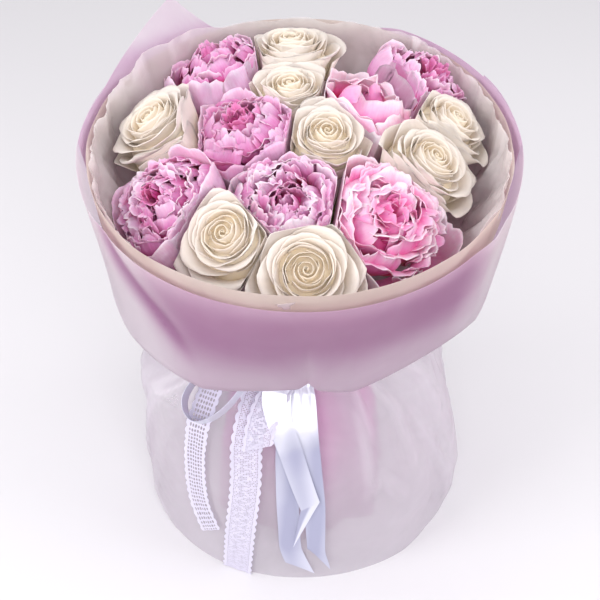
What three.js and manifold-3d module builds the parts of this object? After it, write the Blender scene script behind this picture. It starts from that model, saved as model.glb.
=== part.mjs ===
// A hand-tied bouquet of peonies and roses. Fifteen cut stems cross in a spiral at a bound waist
// and splay below it, so the bouquet stands on its own cut ends. Round them are a clear film, a
// cream lining, a collar of two lilac sheets, a lilac paper skirt and a frosted film skirt, all
// gathered at the waist under a satin and a lace ribbon.
// Millimetres, +Z up, -Y is the front. The origin is the cut foot of the middle stem.
import * as THREE from "three";
import { mergeVertices } from "three/addons/utils/BufferGeometryUtils.js";
import Module from "manifold-3d";

const wasm = await Module();
wasm.setup();
const { Manifold, Mesh: SolidMesh } = wasm;

// Driving dimensions
const WAIST_Z = 235; // height of the binding
const STEM_R = 3;
const TWINE_DEPTH = 5.3; // how thick the turns of twine lie on the stems
const SHEET = 0.8; // film and paper, thicker than life
const PETAL = 0.7; // petal blade
const CLEARANCE = 0.35; // between pieces that touch
const COLUMNS = 24; // columns round every gathered sheet
const STEP = 360 / COLUMNS;

const GREEN = { color: 0x6f8f4e, roughness: 0.55 };
const MAUVE = { color: 0xe3a9d6, roughness: 0.6 };
const PINK = { color: 0xf3a3cf, roughness: 0.6 };
const IVORY = { color: 0xf3ead8, roughness: 0.6 };
const LILAC = { color: 0xcfa9cf, roughness: 0.45 };
const CREAM = { color: 0xe6d8cf, roughness: 0.45 };
const FROST = { color: 0xf2f0f5, roughness: 0.3, transparent: true, opacity: 0.5 };
const CLEAR = { color: 0xf6f4f4, roughness: 0.05, transparent: true, opacity: 0.3 };
const SATIN = { color: 0xd3d3e6, roughness: 0.3 };
const LACE = { color: 0xefeaf2, roughness: 0.8 };
const TWINE = { color: 0xb9a27c, roughness: 0.9 };

// Each bloom: where the middle of its face is, how wide it is, and how far it has opened (0 to 1).
const BLOOMS = [
  { name: "peony_1", kind: "peony", face: [-87, 144, 483], radius: 53, open: 0.15, colour: MAUVE },
  { name: "peony_2", kind: "peony", face: [-57, 36, 472], radius: 62, open: 0.35, colour: MAUVE },
  { name: "peony_3", kind: "peony", face: [-133, -54, 449], radius: 57, open: 0.6, colour: MAUVE },
  { name: "peony_4", kind: "peony", face: [-13, -63, 453], radius: 60, open: 0.7, colour: MAUVE },
  { name: "peony_5", kind: "peony", face: [85, -77, 447], radius: 66, open: 0.9, colour: PINK },
  { name: "peony_6", kind: "peony", face: [127, 117, 477], radius: 60, open: 0.15, colour: MAUVE },
  { name: "peony_7", kind: "peony", face: [70, 73, 477], radius: 60, open: 0.5, colour: PINK },
  { name: "rose_1", kind: "rose", face: [-145, 46, 467], radius: 52, open: 0.7, colour: IVORY },
  { name: "rose_2", kind: "rose", face: [-9, 158, 487], radius: 49, open: 0.6, colour: IVORY },
  { name: "rose_3", kind: "rose", face: [-10, 87, 480], radius: 45, open: 0.3, colour: IVORY },
  { name: "rose_4", kind: "rose", face: [26, 21, 471], radius: 43, open: 0.3, colour: IVORY },
  { name: "rose_5", kind: "rose", face: [-68, -102, 442], radius: 49, open: 0.6, colour: IVORY },
  { name: "rose_6", kind: "rose", face: [6, -142, 432], radius: 54, open: 0.8, colour: IVORY },
  { name: "rose_7", kind: "rose", face: [127, -8, 459], radius: 49, open: 0.5, colour: IVORY },
  { name: "rose_8", kind: "rose", face: [151, 47, 466], radius: 45, open: 0.4, colour: IVORY },
];

const FAN = new THREE.Vector3(0, 0, WAIST_Z); // the stems fan out from here
const UP = new THREE.Vector3(0, 0, 1);
const DEG = Math.PI / 180;
const { lerp, clamp, smoothstep } = THREE.MathUtils;

// A repeatable draw of numbers from 0 to 1.
function seeded(seed) {
  let state = seed >>> 0;
  return () => {
    state = (state + 0x6d2b79f5) >>> 0;
    let t = Math.imul(state ^ (state >>> 15), state | 1);
    t ^= t + Math.imul(t ^ (t >>> 7), t | 61);
    return ((t ^ (t >>> 14)) >>> 0) / 4294967296;
  };
}

// ---- Solids from surfaces ----

// The unit normal at each point of a grid, from its neighbours along and across.
function gridNormals(rows, wraps) {
  const last = rows.length - 1;
  const across = rows[0].length;
  return rows.map((row, j) =>
    row.map((point, i) => {
      const left = wraps ? row[(i + across - 1) % across] : row[Math.max(i - 1, 0)];
      const right = wraps ? row[(i + 1) % across] : row[Math.min(i + 1, across - 1)];
      const below = rows[Math.max(j - 1, 0)][i];
      const above = rows[Math.min(j + 1, last)][i];
      const u = right.clone().sub(left);
      return u.cross(above.clone().sub(below)).normalize();
    }),
  );
}

// One closed blade of the given thickness on both sides of a grid of points. With wraps, the last
// column joins the first and the blade is a sleeve. With levelFoot, its last edge is level.
function blade(rows, thickness, wraps = false, levelFoot = false) {
  const across = rows[0].length;
  const along = rows.length;
  const normals = gridNormals(rows, wraps);
  if (levelFoot) normals[along - 1].forEach((normal) => normal.setZ(0).normalize());
  const points = [];
  for (const side of [1, -1]) {
    rows.forEach((row, j) =>
      row.forEach((point, i) => {
        points.push(point.clone().addScaledVector(normals[j][i], (side * thickness) / 2));
      }),
    );
  }
  const back = along * across;
  const at = (j, i) => j * across + (i % across);
  const faces = [];
  const quad = (a, b, c, d) => faces.push(a, b, c, a, c, d);
  const cells = wraps ? across : across - 1;
  for (let j = 0; j < along - 1; j++) {
    for (let i = 0; i < cells; i++) {
      const [a, b, c, d] = [at(j, i), at(j, i + 1), at(j + 1, i + 1), at(j + 1, i)];
      quad(a, b, c, d);
      faces.push(back + a, back + c, back + b, back + a, back + d, back + c);
    }
    if (!wraps) {
      quad(at(j, 0), at(j + 1, 0), back + at(j + 1, 0), back + at(j, 0));
      const e = across - 1;
      quad(at(j, e), back + at(j, e), back + at(j + 1, e), at(j + 1, e));
    }
  }
  for (let i = 0; i < cells; i++) {
    quad(at(0, i), back + at(0, i), back + at(0, i + 1), at(0, i + 1));
    const e = along - 1;
    quad(at(e, i), at(e, i + 1), back + at(e, i + 1), back + at(e, i));
  }
  return solidOf(points, faces);
}

// A solid from points and the corners of its triangles, turned so that its faces point out.
function solidOf(points, faces) {
  let volume = 0;
  for (let f = 0; f < faces.length; f += 3) {
    const [a, b, c] = [points[faces[f]], points[faces[f + 1]], points[faces[f + 2]]];
    volume += a.dot(b.clone().cross(c));
  }
  const corners = new Uint32Array(faces);
  if (volume < 0) {
    for (let f = 0; f < corners.length; f += 3) {
      [corners[f + 1], corners[f + 2]] = [corners[f + 2], corners[f + 1]];
    }
  }
  const flat = new Float32Array(points.length * 3);
  points.forEach((p, i) => p.toArray(flat, i * 3));
  return new Manifold(new SolidMesh({ numProp: 3, vertProperties: flat, triVerts: corners }));
}

// A solid from a three.js geometry.
function solidOfGeometry(geometry) {
  const bare = geometry.clone();
  bare.deleteAttribute("normal");
  bare.deleteAttribute("uv");
  const merged = mergeVertices(bare, 1e-3);
  const points = [];
  for (let i = 0; i < merged.attributes.position.count; i++) {
    points.push(new THREE.Vector3().fromBufferAttribute(merged.attributes.position, i));
  }
  return solidOf(points, Array.from(merged.index.array));
}

const bouquet = new THREE.Group();

// Adds a solid to the bouquet as a named mesh.
function addPiece(name, solid, look) {
  const whole = solid.decompose().sort((a, b) => b.volume() - a.volume())[0];
  const { numProp, numVert, vertProperties, triVerts } = whole.getMesh();
  const flat = new Float32Array(numVert * 3);
  for (let i = 0; i < numVert; i++) {
    flat.set(vertProperties.subarray(i * numProp, i * numProp + 3), i * 3);
  }
  const geometry = new THREE.BufferGeometry();
  geometry.setAttribute("position", new THREE.BufferAttribute(flat, 3));
  geometry.setIndex(new THREE.BufferAttribute(triVerts, 1));
  geometry.computeVertexNormals();
  const mesh = new THREE.Mesh(geometry, new THREE.MeshStandardMaterial(look));
  mesh.name = name;
  bouquet.add(mesh);
}

// ---- Gathered sheets ----

// A point at an azimuth in degrees from the front, positive to the right, at a radius and a height.
function around(azimuth, radius, z) {
  const a = azimuth * DEG;
  return new THREE.Vector3(radius * Math.sin(a), -radius * Math.cos(a), z);
}

// The rim falls from the back of the bouquet to its front.
const RIM_MIDDLE = 457;
const RIM_FALL = 22;
const rimHeight = (azimuth) => RIM_MIDDLE - RIM_FALL * Math.cos(azimuth * DEG);

// Sheets gathered at the waist lie on each other there, from the inside out.
const WAIST_TOP = WAIST_Z + 11;
const WAIST_FOOT = WAIST_Z - 13;
const LAYER = 1.2;
const COLLAR_LAYER = 3; // the outermost of the sheets that rise from the waist
const waistRadius = (layer) => 23.1 + layer * LAYER;
const waistTop = (layer) => WAIST_TOP + (COLLAR_LAYER - layer) * 1.6;

// The bowl of clear film round the blooms: its radius at each height.
const BOWL = [
  [36, 264],
  [118, 318],
  [168, 362],
  [186, 404],
  [193, 450],
  [198, 490],
];
const BOWL_ROWS = 4; // below the rim

// The radius of the bowl at a height.
function bowlRadius(z) {
  const high = clamp(BOWL.findIndex((key) => key[1] > z), 1, BOWL.length - 1);
  const [r0, z0] = BOWL[high - 1];
  const [r1, z1] = BOWL[high];
  return lerp(r0, r1, clamp((z - z0) / (z1 - z0), 0, 1));
}

// Folds that start at the waist, are deepest half way up, and die out at the rim.
function fold(azimuth, share, depth, count, phase) {
  return depth * Math.sin(Math.PI * share) * Math.cos((azimuth * count + phase) * DEG);
}

// Rows of points of a sheet, from a rule that gives [radius, height] at an azimuth for each row,
// and a third number where a point stands at another azimuth than its column.
function sheetRows(rowCount, from, to, rule) {
  const columns = Math.round((to - from) / STEP);
  const wraps = columns === COLUMNS;
  const rows = [];
  for (let j = 0; j < rowCount; j++) {
    const row = [];
    for (let i = 0; i < (wraps ? columns : columns + 1); i++) {
      const azimuth = from + i * STEP;
      const [radius, z, turned = azimuth] = rule(azimuth, j);
      row.push(around(turned, radius, z));
    }
    rows.push(row);
  }
  return rows;
}

// The film and the lining are bowls, one a little wider than the other.
function bowlRule(layer, wider, rim) {
  const base = waistRadius(layer);
  return (azimuth, j) => {
    if (j === 0) return [base, WAIST_FOOT];
    if (j === 1) return [base, waistTop(layer)];
    const z = j === BOWL_ROWS + 2 ? rim(azimuth) : BOWL[j - 2][1];
    const share = (j - 1) / (BOWL_ROWS + 1);
    return [bowlRadius(z) + wider * Math.min(1, share * 3) + fold(azimuth, share, 1.5, 6, 20), z];
  };
}

function clearFilm() {
  const rim = (azimuth) => {
    const uneven = 3 * Math.cos(5 * azimuth * DEG);
    return rimHeight(azimuth) + 3 - 5 * Math.cos(azimuth * DEG) + uneven;
  };
  return blade(sheetRows(BOWL_ROWS + 3, 0, 360, bowlRule(0, 0, rim)), SHEET, true);
}

// The lining stands above the collar in front and a little above it at the back.
const LINING_WIDER = 4.5;
function lining() {
  const rim = (azimuth) => rimHeight(azimuth) + 5 + 7 * Math.max(0, Math.cos(azimuth * DEG));
  return blade(sheetRows(BOWL_ROWS + 3, 0, 360, bowlRule(1, LINING_WIDER, rim)), SHEET, true);
}

// The collar: under the blooms it runs out almost flat from the waist to a crease, and from
// there it stands up to the rim. The crease is lower and turns sharper in front.
const CREASE = [
  // azimuth, radius, height
  [-180, 185, 330],
  [-120, 187, 326],
  [-75, 189, 317],
  [-60, 187, 306],
  [-30, 179, 295],
  [0, 180, 313],
  [15, 181, 311],
  [60, 191, 327],
  [90, 190, 333],
  [180, 185, 330],
];

function creaseAt(azimuth) {
  const a = ((((azimuth + 180) % 360) + 360) % 360) - 180;
  const next = CREASE.findIndex((key) => key[0] > a);
  const high = next < 1 ? CREASE.length - 1 : next;
  const [a0, r0, z0] = CREASE[high - 1];
  const [a1, r1, z1] = CREASE[high];
  const share = clamp((a - a0) / (a1 - a0), 0, 1);
  return [lerp(r0, r1, share), lerp(z0, z1, share)];
}

// Rows of a collar sheet. inside is how far it lies inside the outermost one.
function collarRule(layer, inside, rimRadius, rim) {
  const base = waistRadius(layer);
  const low = waistTop(layer);
  return (azimuth, j) => {
    const [creaseRadius, creaseZ] = creaseAt(azimuth);
    const radius = creaseRadius - inside;
    const z = creaseZ + inside;
    if (j === 0) return [base, WAIST_FOOT];
    if (j === 1) return [base, low];
    if (j === 2) {
      return [lerp(base, radius, 0.35) + fold(azimuth, 0.5, 1.5, 8, 40), lerp(low, z, 0.27)];
    }
    if (j === 3) return [lerp(base, radius, 0.72), lerp(low, z, 0.66)];
    if (j === 4) return [radius, z];
    const share = (j - 4) / 2;
    const top = rim(azimuth);
    const wide = lerp(radius, rimRadius(azimuth), share);
    return [wide + fold(azimuth, share, 2.2, 4, 65), lerp(z, top, share)];
  };
}
const COLLAR_ROWS = 7;

function collarFront() {
  const rim = (azimuth) => rimHeight(azimuth) + 6 * smoothstep(Math.abs(azimuth), 80, 120);
  const rimRadius = (azimuth) => 203 + 7 * smoothstep(Math.abs(azimuth), 40, 110);
  const rule = collarRule(COLLAR_LAYER, 0, rimRadius, rim);
  return blade(sheetRows(COLLAR_ROWS, -120, 120, rule), SHEET);
}

// The back sheet has a pointed corner at the left, where the paper's own corner stands up. Its
// column leans over to the left. Right behind the bouquet the rim lies behind the lining's.
const CORNER_COLUMN = 210;
const CORNER_AZIMUTH = 217.5;
const CORNER_HEIGHT = 44;
const BACK_RIM_RADIUS = 205;
function backRim(azimuth) {
  const away = azimuth - CORNER_AZIMUTH;
  const corner = CORNER_HEIGHT * (1 - clamp(away > 0 ? away / 33 : -away / 12, 0, 1));
  return rimHeight(azimuth) - 4 + 12 * smoothstep(Math.abs(azimuth - 180), 12, 32) + corner;
}

function collarBack() {
  const rimRadius = (azimuth) => BACK_RIM_RADIUS + (backRim(azimuth) - rimHeight(azimuth)) / 6;
  const straight = collarRule(COLLAR_LAYER - 1, 3.2, rimRadius, backRim);
  const rule = (azimuth, j) => {
    if (azimuth !== CORNER_COLUMN || j < 5) return straight(azimuth, j);
    const turned = lerp(CORNER_COLUMN, CORNER_AZIMUTH, (j - 4) / 2);
    return [...straight(turned, j), turned];
  };
  return blade(sheetRows(COLLAR_ROWS, 90, 270, rule), SHEET);
}

// The lilac paper skirt round the stems, under the frosted film.
const PAPER_SKIRT = [
  [50, 192],
  [80, 110],
  [91, 0],
];
function paperSkirt() {
  const base = waistRadius(4);
  const rule = (azimuth, j) => {
    if (j === 0) return [base, WAIST_TOP - 3];
    if (j === 1) return [base, WAIST_FOOT];
    const [radius, z] = PAPER_SKIRT[j - 2];
    return [radius * (1 + 0.03 * Math.cos((azimuth * 6 + 20) * DEG)), z];
  };
  return blade(sheetRows(PAPER_SKIRT.length + 2, 0, 360, rule), SHEET, true, true);
}

const FILM_TOP = WAIST_Z - 9; // where the film skirt leaves the waist
// The frosted film skirt puffs out at the sides and falls straighter in front.
// Rows of [radius, height] at the front, right, back and left.
const FILM_SKIRT = [
  [[66, 198], [96, 238], [95, 234], [100, 224]],
  [[99, 150], [140, 217], [142, 211], [164, 187]],
  [[124, 92], [161, 150], [168, 132], [171, 122]],
  [[141, 40], [178, 70], [174, 60], [174, 58]],
  [[152, 0], [171, 0], [168, 0], [167, 0]],
];

// Its folds run down from the waist: how far each column stands out or in, and how much of that
// each row has. It is calm in front, where the ribbons hang.
const SKIRT_FOLDS = [
  0, 0, 0, 3, -4, 6, -5, 4, -5, 7, -5, 4,
  -6, 5, -4, 7, -6, 4, -5, 4, 0, 0, 0, 0,
];
const FOLD_SHARES = [0.6, 1, 1, 0.7, 0.4];

function filmSkirtRow(azimuth, j) {
  const turned = ((azimuth % 360) + 360) % 360;
  const from = Math.floor(turned / 90);
  const share = smoothstep(turned / 90 - from, 0, 1);
  const [r0, z0] = FILM_SKIRT[j][from];
  const [r1, z1] = FILM_SKIRT[j][(from + 1) % 4];
  const folded = SKIRT_FOLDS[Math.round(turned / STEP) % COLUMNS] * FOLD_SHARES[j];
  return [lerp(r0, r1, share) + folded, lerp(z0, z1, share)];
}

function filmSkirt() {
  const base = waistRadius(5);
  const rule = (azimuth, j) => {
    if (j === 0) return [base, WAIST_TOP - 5];
    if (j === 1) return [base, FILM_TOP];
    return filmSkirtRow(azimuth, j - 2);
  };
  return blade(sheetRows(FILM_SKIRT.length + 2, 0, 360, rule), SHEET, true, true);
}

// ---- Blooms ----

// Where a bloom sits: the base of its head, its axis and its own two cross directions.
function placeBloom(bloom, index) {
  const face = new THREE.Vector3(...bloom.face);
  const axis = face.clone().sub(FAN).normalize();
  const depth = 0.9 * bloom.radius + 9;
  const base = face.clone().addScaledVector(axis, -depth);
  const turn = new THREE.Quaternion().setFromUnitVectors(UP, axis);
  const middle = base.clone().addScaledVector(axis, depth * 0.55);
  const away = middle.distanceTo(FAN);
  return { ...bloom, index, axis, base, depth, turn, away, spread: Math.asin(bloom.radius / away) };
}
const PLACED = BLOOMS.map(placeBloom);

// Neighbouring blooms press against each other on a plane through the waist. Each wall holds the
// direction towards the neighbour.
function wallsOf(bloom) {
  const walls = [];
  for (const other of PLACED) {
    if (other === bloom) continue;
    const between = bloom.axis.angleTo(other.axis);
    if (between > 1.5 * (bloom.spread + other.spread)) continue;
    const side = new THREE.Vector3().crossVectors(bloom.axis, other.axis).normalize();
    const share = bloom.spread / (bloom.spread + other.spread);
    const along = bloom.axis.clone().applyAxisAngle(side, between * share);
    walls.push(new THREE.Vector3().crossVectors(side, along).normalize());
  }
  return walls;
}

// Moves a point that is near a wall or past it back inside, more and more gently, so that petals
// lie against the wall in their order.
const SOFT = 7;
const BOWL_MARGIN = 4.2;
function eased(distance, nearest) {
  if (distance > SOFT) return distance;
  const room = SOFT - nearest;
  return nearest + room * Math.exp((distance - SOFT) / room);
}

// Petals also press outwards against the film bowl.
function pressed(point, walls) {
  const nearest = PETAL / 2 + CLEARANCE + 0.4;
  for (let pass = 0; pass < 3; pass++) {
    for (const wall of walls) {
      const inside = -wall.dot(point.clone().sub(FAN));
      point.addScaledVector(wall, inside - eased(inside, nearest));
    }
  }
  const limit = bowlRadius(point.z) * Math.cos((STEP / 2) * DEG) - BOWL_MARGIN;
  const radius = Math.hypot(point.x, point.y);
  const kept = limit - eased(limit - radius, nearest);
  point.x *= kept / radius;
  point.y *= kept / radius;
  return point;
}

// One petal's point in its bloom's own frame. along runs from 0 at the root to 1 at the tip, and
// across from -1 to 1. The petal swells out to its radius, then its lip turns out or in.
function petalPoint(petal, along, across) {
  const s = along * (1 - petal.round * across * across);
  const azimuth = petal.azimuth + across * petal.half;
  const swell = Math.sin(Math.min(1, s / 0.7) * 90 * DEG);
  const lip = Math.max(0, (s - 0.5) / 0.5) ** 2;
  const wave = petal.wave * s * Math.cos(across * 180 * DEG + petal.phase);
  const out = lerp(petal.root, petal.radius, swell) + petal.lip * lip + petal.tuck * across + wave;
  const z = lerp(petal.foot, petal.top, s) - 0.3 * Math.abs(petal.lip) * lip + 0.5 * wave;
  return new THREE.Vector3(out * Math.cos(azimuth), out * Math.sin(azimuth), z);
}

function petalSolid(bloom, walls, petal) {
  const rows = [];
  for (let j = 0; j <= petal.rowsUp; j++) {
    const row = [];
    for (const across of [-1, 0, 1]) {
      const local = petalPoint(petal, j / petal.rowsUp, across);
      const world = local.applyQuaternion(bloom.turn).add(bloom.base);
      row.push(pressed(world, walls));
    }
    rows.push(row);
  }
  return blade(rows, PETAL);
}

// The heart of a bloom, which its petals stand out of: shares of the radius and the depth.
const HEART = [
  [0.2, 0],
  [0.6, 0.42],
  [0.42, 0.8],
  [0, 0.92],
];
const HEART_SIDES = 5;
function heartSolid(bloom, walls) {
  const profile = HEART.map(([r, z]) => new THREE.Vector2(r * bloom.radius, z * bloom.depth));
  const shape = new THREE.LatheGeometry([new THREE.Vector2(0, 0), ...profile], HEART_SIDES);
  shape.rotateX(90 * DEG);
  const position = shape.attributes.position;
  const point = new THREE.Vector3();
  for (let i = 0; i < position.count; i++) {
    point.fromBufferAttribute(position, i).applyQuaternion(bloom.turn).add(bloom.base);
    position.setXYZ(i, ...pressed(point, walls).toArray());
  }
  return solidOfGeometry(shape);
}

// Rings of petals from the middle out. count, then the ring's radius, the radius and the height
// of its roots and the height of its tips, as shares of the bloom's radius and depth. lip is how
// far a petal's rim turns out, and wave is how far it ruffles, in millimetres.
const ROSE_RINGS = [
  { count: 3, radius: 0.25, root: 0.16, foot: 0.64, top: 1.08, lip: -0.02, wave: 0 },
  { count: 3, radius: 0.55, root: 0.36, foot: 0.5, top: 1.03, lip: 0.06, wave: 0 },
  { count: 5, radius: 0.97, root: 0.28, foot: 0.12, top: 0.92, lip: 0.2, wave: 0.3 },
];
const PEONY_RINGS = [
  { count: 3, radius: 0.3, root: 0.2, foot: 0.62, top: 1.12, lip: 0, wave: 1.6 },
  { count: 5, radius: 0.68, root: 0.42, foot: 0.45, top: 1.04, lip: 0.03, wave: 2.2 },
  { count: 5, radius: 1.04, root: 0.28, foot: 0.12, top: 0.93, lip: 0.1, wave: 0.5 },
];

function petalsOf(bloom, rings, draw) {
  const petals = [];
  rings.forEach((ring, level) => {
    const outer = level === rings.length - 1;
    const opened = outer ? bloom.open - 0.5 : 0;
    for (let k = 0; k < ring.count; k++) {
      petals.push({
        azimuth: ((k + 0.5 * level) * 360 * DEG) / ring.count + 0.1 * (draw() - 0.5) + bloom.index,
        half: (175 * DEG) / ring.count,
        radius: ring.radius * bloom.radius,
        root: ring.root * bloom.radius,
        foot: ring.foot * bloom.depth,
        top: ring.top * bloom.depth - 2 - 3 * draw() - 8 * opened,
        lip: (ring.lip + 0.2 * opened) * bloom.radius,
        tuck: outer ? 1.6 : 1.2,
        round: 0.16,
        wave: ring.wave,
        phase: 180 * DEG * (k % 2),
        rowsUp: outer ? 2 : 1,
      });
    }
  });
  return petals;
}

function bloomSolid(bloom) {
  const walls = wallsOf(bloom);
  const rings = bloom.kind === "rose" ? ROSE_RINGS : PEONY_RINGS;
  const petals = petalsOf(bloom, rings, seeded(101 + bloom.index));
  const blades = petals.map((petal) => petalSolid(bloom, walls, petal));
  let head = Manifold.union([heartSolid(bloom, walls), ...blades]);
  for (const wall of walls) {
    head = head.trimByPlane(wall.clone().negate().toArray(), -wall.dot(FAN) + CLEARANCE);
  }
  return head.trimByPlane(bloom.axis.toArray(), bloom.axis.dot(bloom.base));
}

// ---- Stems ----

// Where each stem crosses the waist: one in the middle, four round it and ten outside them.
const INNER_RING = 6.7;
const OUTER_RING = 13.2;
const INNER_SPLAY = 44; // how far a stem runs sideways from the waist to its foot
const OUTER_SPLAY = 67;

function bearing(bloom) {
  return Math.atan2(bloom.face[0], -bloom.face[1]) / DEG;
}

// Stems sorted by how far out their blooms are, then by bearing, so that none crosses another.
function stemPlaces() {
  const far = [...PLACED].sort((a, b) => Math.hypot(a.face[0], a.face[1]) - Math.hypot(b.face[0], b.face[1]));
  const ring = (blooms, radius, splay) => {
    const sorted = [...blooms].sort((a, b) => bearing(a) - bearing(b));
    const step = 360 / sorted.length;
    const turn = sorted.reduce((sum, bloom, k) => sum + bearing(bloom) - k * step, 0) / sorted.length;
    return sorted.map((bloom, k) => ({ bloom, radius, splay, bearing: turn + k * step }));
  };
  return [
    { bloom: far[0], radius: 0, splay: 0, bearing: 0 },
    ...ring(far.slice(1, 5), INNER_RING, INNER_SPLAY),
    ...ring(far.slice(5), OUTER_RING, OUTER_SPLAY),
  ];
}

// A stem's middle line: straight from its foot to the waist, then bending out to its bloom.
function stemLine(place) {
  const { bloom } = place;
  const waist = around(place.bearing - 90, place.radius, WAIST_Z);
  const run = around(place.bearing, place.splay, WAIST_Z).sub(FAN);
  const foot = waist.clone().sub(run).setZ(0);
  const rise = waist.clone().sub(foot).normalize();
  const top = bloom.base.clone().addScaledVector(bloom.axis, -CLEARANCE);
  const reach = top.distanceTo(waist);
  const bend = new THREE.CubicBezierCurve3(
    waist,
    waist.clone().addScaledVector(rise, reach * 0.35),
    top.clone().addScaledVector(bloom.axis, -reach * 0.4),
    top,
  );
  return { foot, waist, rise, bend, top };
}

const STEM_SIDES = 5;
const BEND_STEPS = 4;

// Rings of points across the stem's line. Under the bloom the stem swells to its green cup.
function stemSolid(place) {
  const { foot, waist, rise, bend, top } = stemLine(place);
  const { axis } = place.bloom;
  const cup = place.bloom.kind === "peony" ? 9 : 7.5;
  const stations = [
    { at: foot, facing: UP, radius: STEM_R },
    { at: waist, facing: rise, radius: STEM_R },
  ];
  for (let k = 1; k < BEND_STEPS; k++) {
    const share = (k / BEND_STEPS) * 0.94;
    stations.push({ at: bend.getPoint(share), facing: bend.getTangent(share), radius: STEM_R });
  }
  stations.push({ at: top.clone().addScaledVector(axis, -9), facing: axis, radius: STEM_R + 0.4 });
  stations.push({ at: top.clone().addScaledVector(axis, -4), facing: axis, radius: cup });
  stations.push({ at: top, facing: axis, radius: cup });
  const points = [];
  for (const { at, facing, radius } of stations) {
    const sideways = new THREE.Vector3(1, 0, 0).addScaledVector(facing, -facing.x).normalize();
    const other = new THREE.Vector3().crossVectors(facing, sideways);
    for (let i = 0; i < STEM_SIDES; i++) {
      const a = (i / STEM_SIDES) * 360 * DEG;
      const point = at.clone().addScaledVector(sideways, radius * Math.cos(a));
      points.push(point.addScaledVector(other, radius * Math.sin(a)));
    }
  }
  const faces = [];
  const lastRing = (stations.length - 1) * STEM_SIDES;
  for (let j = 0; j < stations.length - 1; j++) {
    for (let i = 0; i < STEM_SIDES; i++) {
      const [a, b] = [j * STEM_SIDES + i, j * STEM_SIDES + ((i + 1) % STEM_SIDES)];
      faces.push(a, b, b + STEM_SIDES, a, b + STEM_SIDES, a + STEM_SIDES);
    }
  }
  for (let i = 1; i < STEM_SIDES - 1; i++) {
    faces.push(0, i + 1, i);
    faces.push(lastRing, lastRing + i, lastRing + i + 1);
  }
  return solidOf(points, faces);
}

// ---- Binding ----

// Turns of twine round the stems.
function twineSolid() {
  const inner = OUTER_RING + STEM_R + 0.6;
  const profile = [
    [inner, -5],
    [inner + TWINE_DEPTH, -3],
    [inner + TWINE_DEPTH, 3],
    [inner, 5],
    [inner, -5],
  ];
  const ring = new THREE.LatheGeometry(profile.map(([r, z]) => new THREE.Vector2(r, z)), 16);
  ring.rotateX(90 * DEG);
  ring.translate(0, 0, WAIST_Z);
  return solidOfGeometry(ring);
}

// ---- Ribbons ----

// A point on the film skirt's faces. down is 0 where it leaves the waist and then counts its rows.
function skirtPoint(azimuth, down) {
  const column = Math.floor(azimuth / STEP);
  const upper = clamp(Math.floor(down), 0, FILM_SKIRT.length - 1);
  const corner = (i, j) => {
    const [radius, z] = j === 0 ? [waistRadius(5), FILM_TOP] : filmSkirtRow((column + i) * STEP, j - 1);
    return around((column + i) * STEP, radius, z);
  };
  const [u, v] = [azimuth / STEP - column, down - upper];
  const [a, c] = [corner(0, upper), corner(1, upper + 1)];
  if (u > v) {
    const b = corner(1, upper);
    return a.addScaledVector(b.clone().sub(a), u).addScaledVector(c.sub(b), v);
  }
  const d = corner(0, upper + 1);
  return a.addScaledVector(d.clone().sub(a), v).addScaledVector(c.sub(d), u);
}

// The way out of the film skirt at a point.
function skirtNormal(azimuth, down) {
  const across = skirtPoint(azimuth + 4, down).sub(skirtPoint(azimuth - 4, down));
  const along = skirtPoint(azimuth, down + 0.2).sub(skirtPoint(azimuth, down - 0.2));
  return along.cross(across).normalize();
}

function onSkirt(azimuth, down, lift) {
  return skirtPoint(azimuth, down).addScaledVector(skirtNormal(azimuth, down), lift);
}

// A ribbon along way points [down, azimuth] that lies flat on the film skirt, gathered at the knot.
function ribbonSolid(ribbon) {
  const rows = ribbon.way.map(([down, azimuth]) => {
    const width = ribbon.width * lerp(0.4, 1, smoothstep(down, 0.1, 0.9));
    const reach = width / 2 / skirtPoint(azimuth, down).setZ(0).length() / DEG;
    return [-reach, 0, reach].map((side) => onSkirt(azimuth + side, down, ribbon.lift));
  });
  return blade(rows, SHEET);
}

// A loop of ribbon that stands on its edge above the skirt.
function loopSolid(loop) {
  const path = loop.way.map(([down, azimuth, lift]) => onSkirt(azimuth, down, lift));
  const curve = new THREE.CatmullRomCurve3(path);
  const rows = curve.getPoints(loop.steps).map((point, k) => {
    const share = Math.sin((Math.PI * k) / loop.steps);
    const height = loop.height * lerp(0.5, 1, share);
    return [point, point.clone().addScaledVector(loop.rise, height)];
  });
  return blade(rows, SHEET);
}

const RIBBONS = [
  { name: "satin_tail_1", look: SATIN, width: 26, lift: 5.8,
    way: [[0.28, -6], [0.6, -14], [1, -22], [1.5, -15], [2, -6], [2.5, 0], [3, 5]] },
  { name: "satin_tail_2", look: SATIN, width: 26, lift: 4,
    way: [[0.2, 4], [0.6, 4], [1, 3], [1.5, 4], [2, 5], [2.5, 6], [3, 7], [3.5, 8], [4, 10], [4.5, 13]] },
  { name: "satin_tail_3", look: SATIN, width: 24, lift: 2.3,
    way: [[0.16, -4], [0.6, -5], [1, -8], [1.5, -8], [2, -8], [2.5, -7], [3, -6], [3.5, -5],
      [4, -4], [4.6, 0]] },
  { name: "lace_tail_1", look: LACE, width: 24, lift: 3.6,
    way: [[0.1, -34], [0.5, -56], [1, -60], [1.5, -54], [2, -50], [2.5, -49], [3, -47],
      [3.5, -44], [4, -38]] },
  { name: "lace_tail_2", look: LACE, width: 32, lift: 2.3,
    way: [[0.12, -24], [0.6, -30], [1, -32], [1.5, -31], [2, -29], [2.5, -27], [3, -26], [3.5, -26],
      [4, -26], [4.5, -26], [5, -26]] },
];

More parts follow.
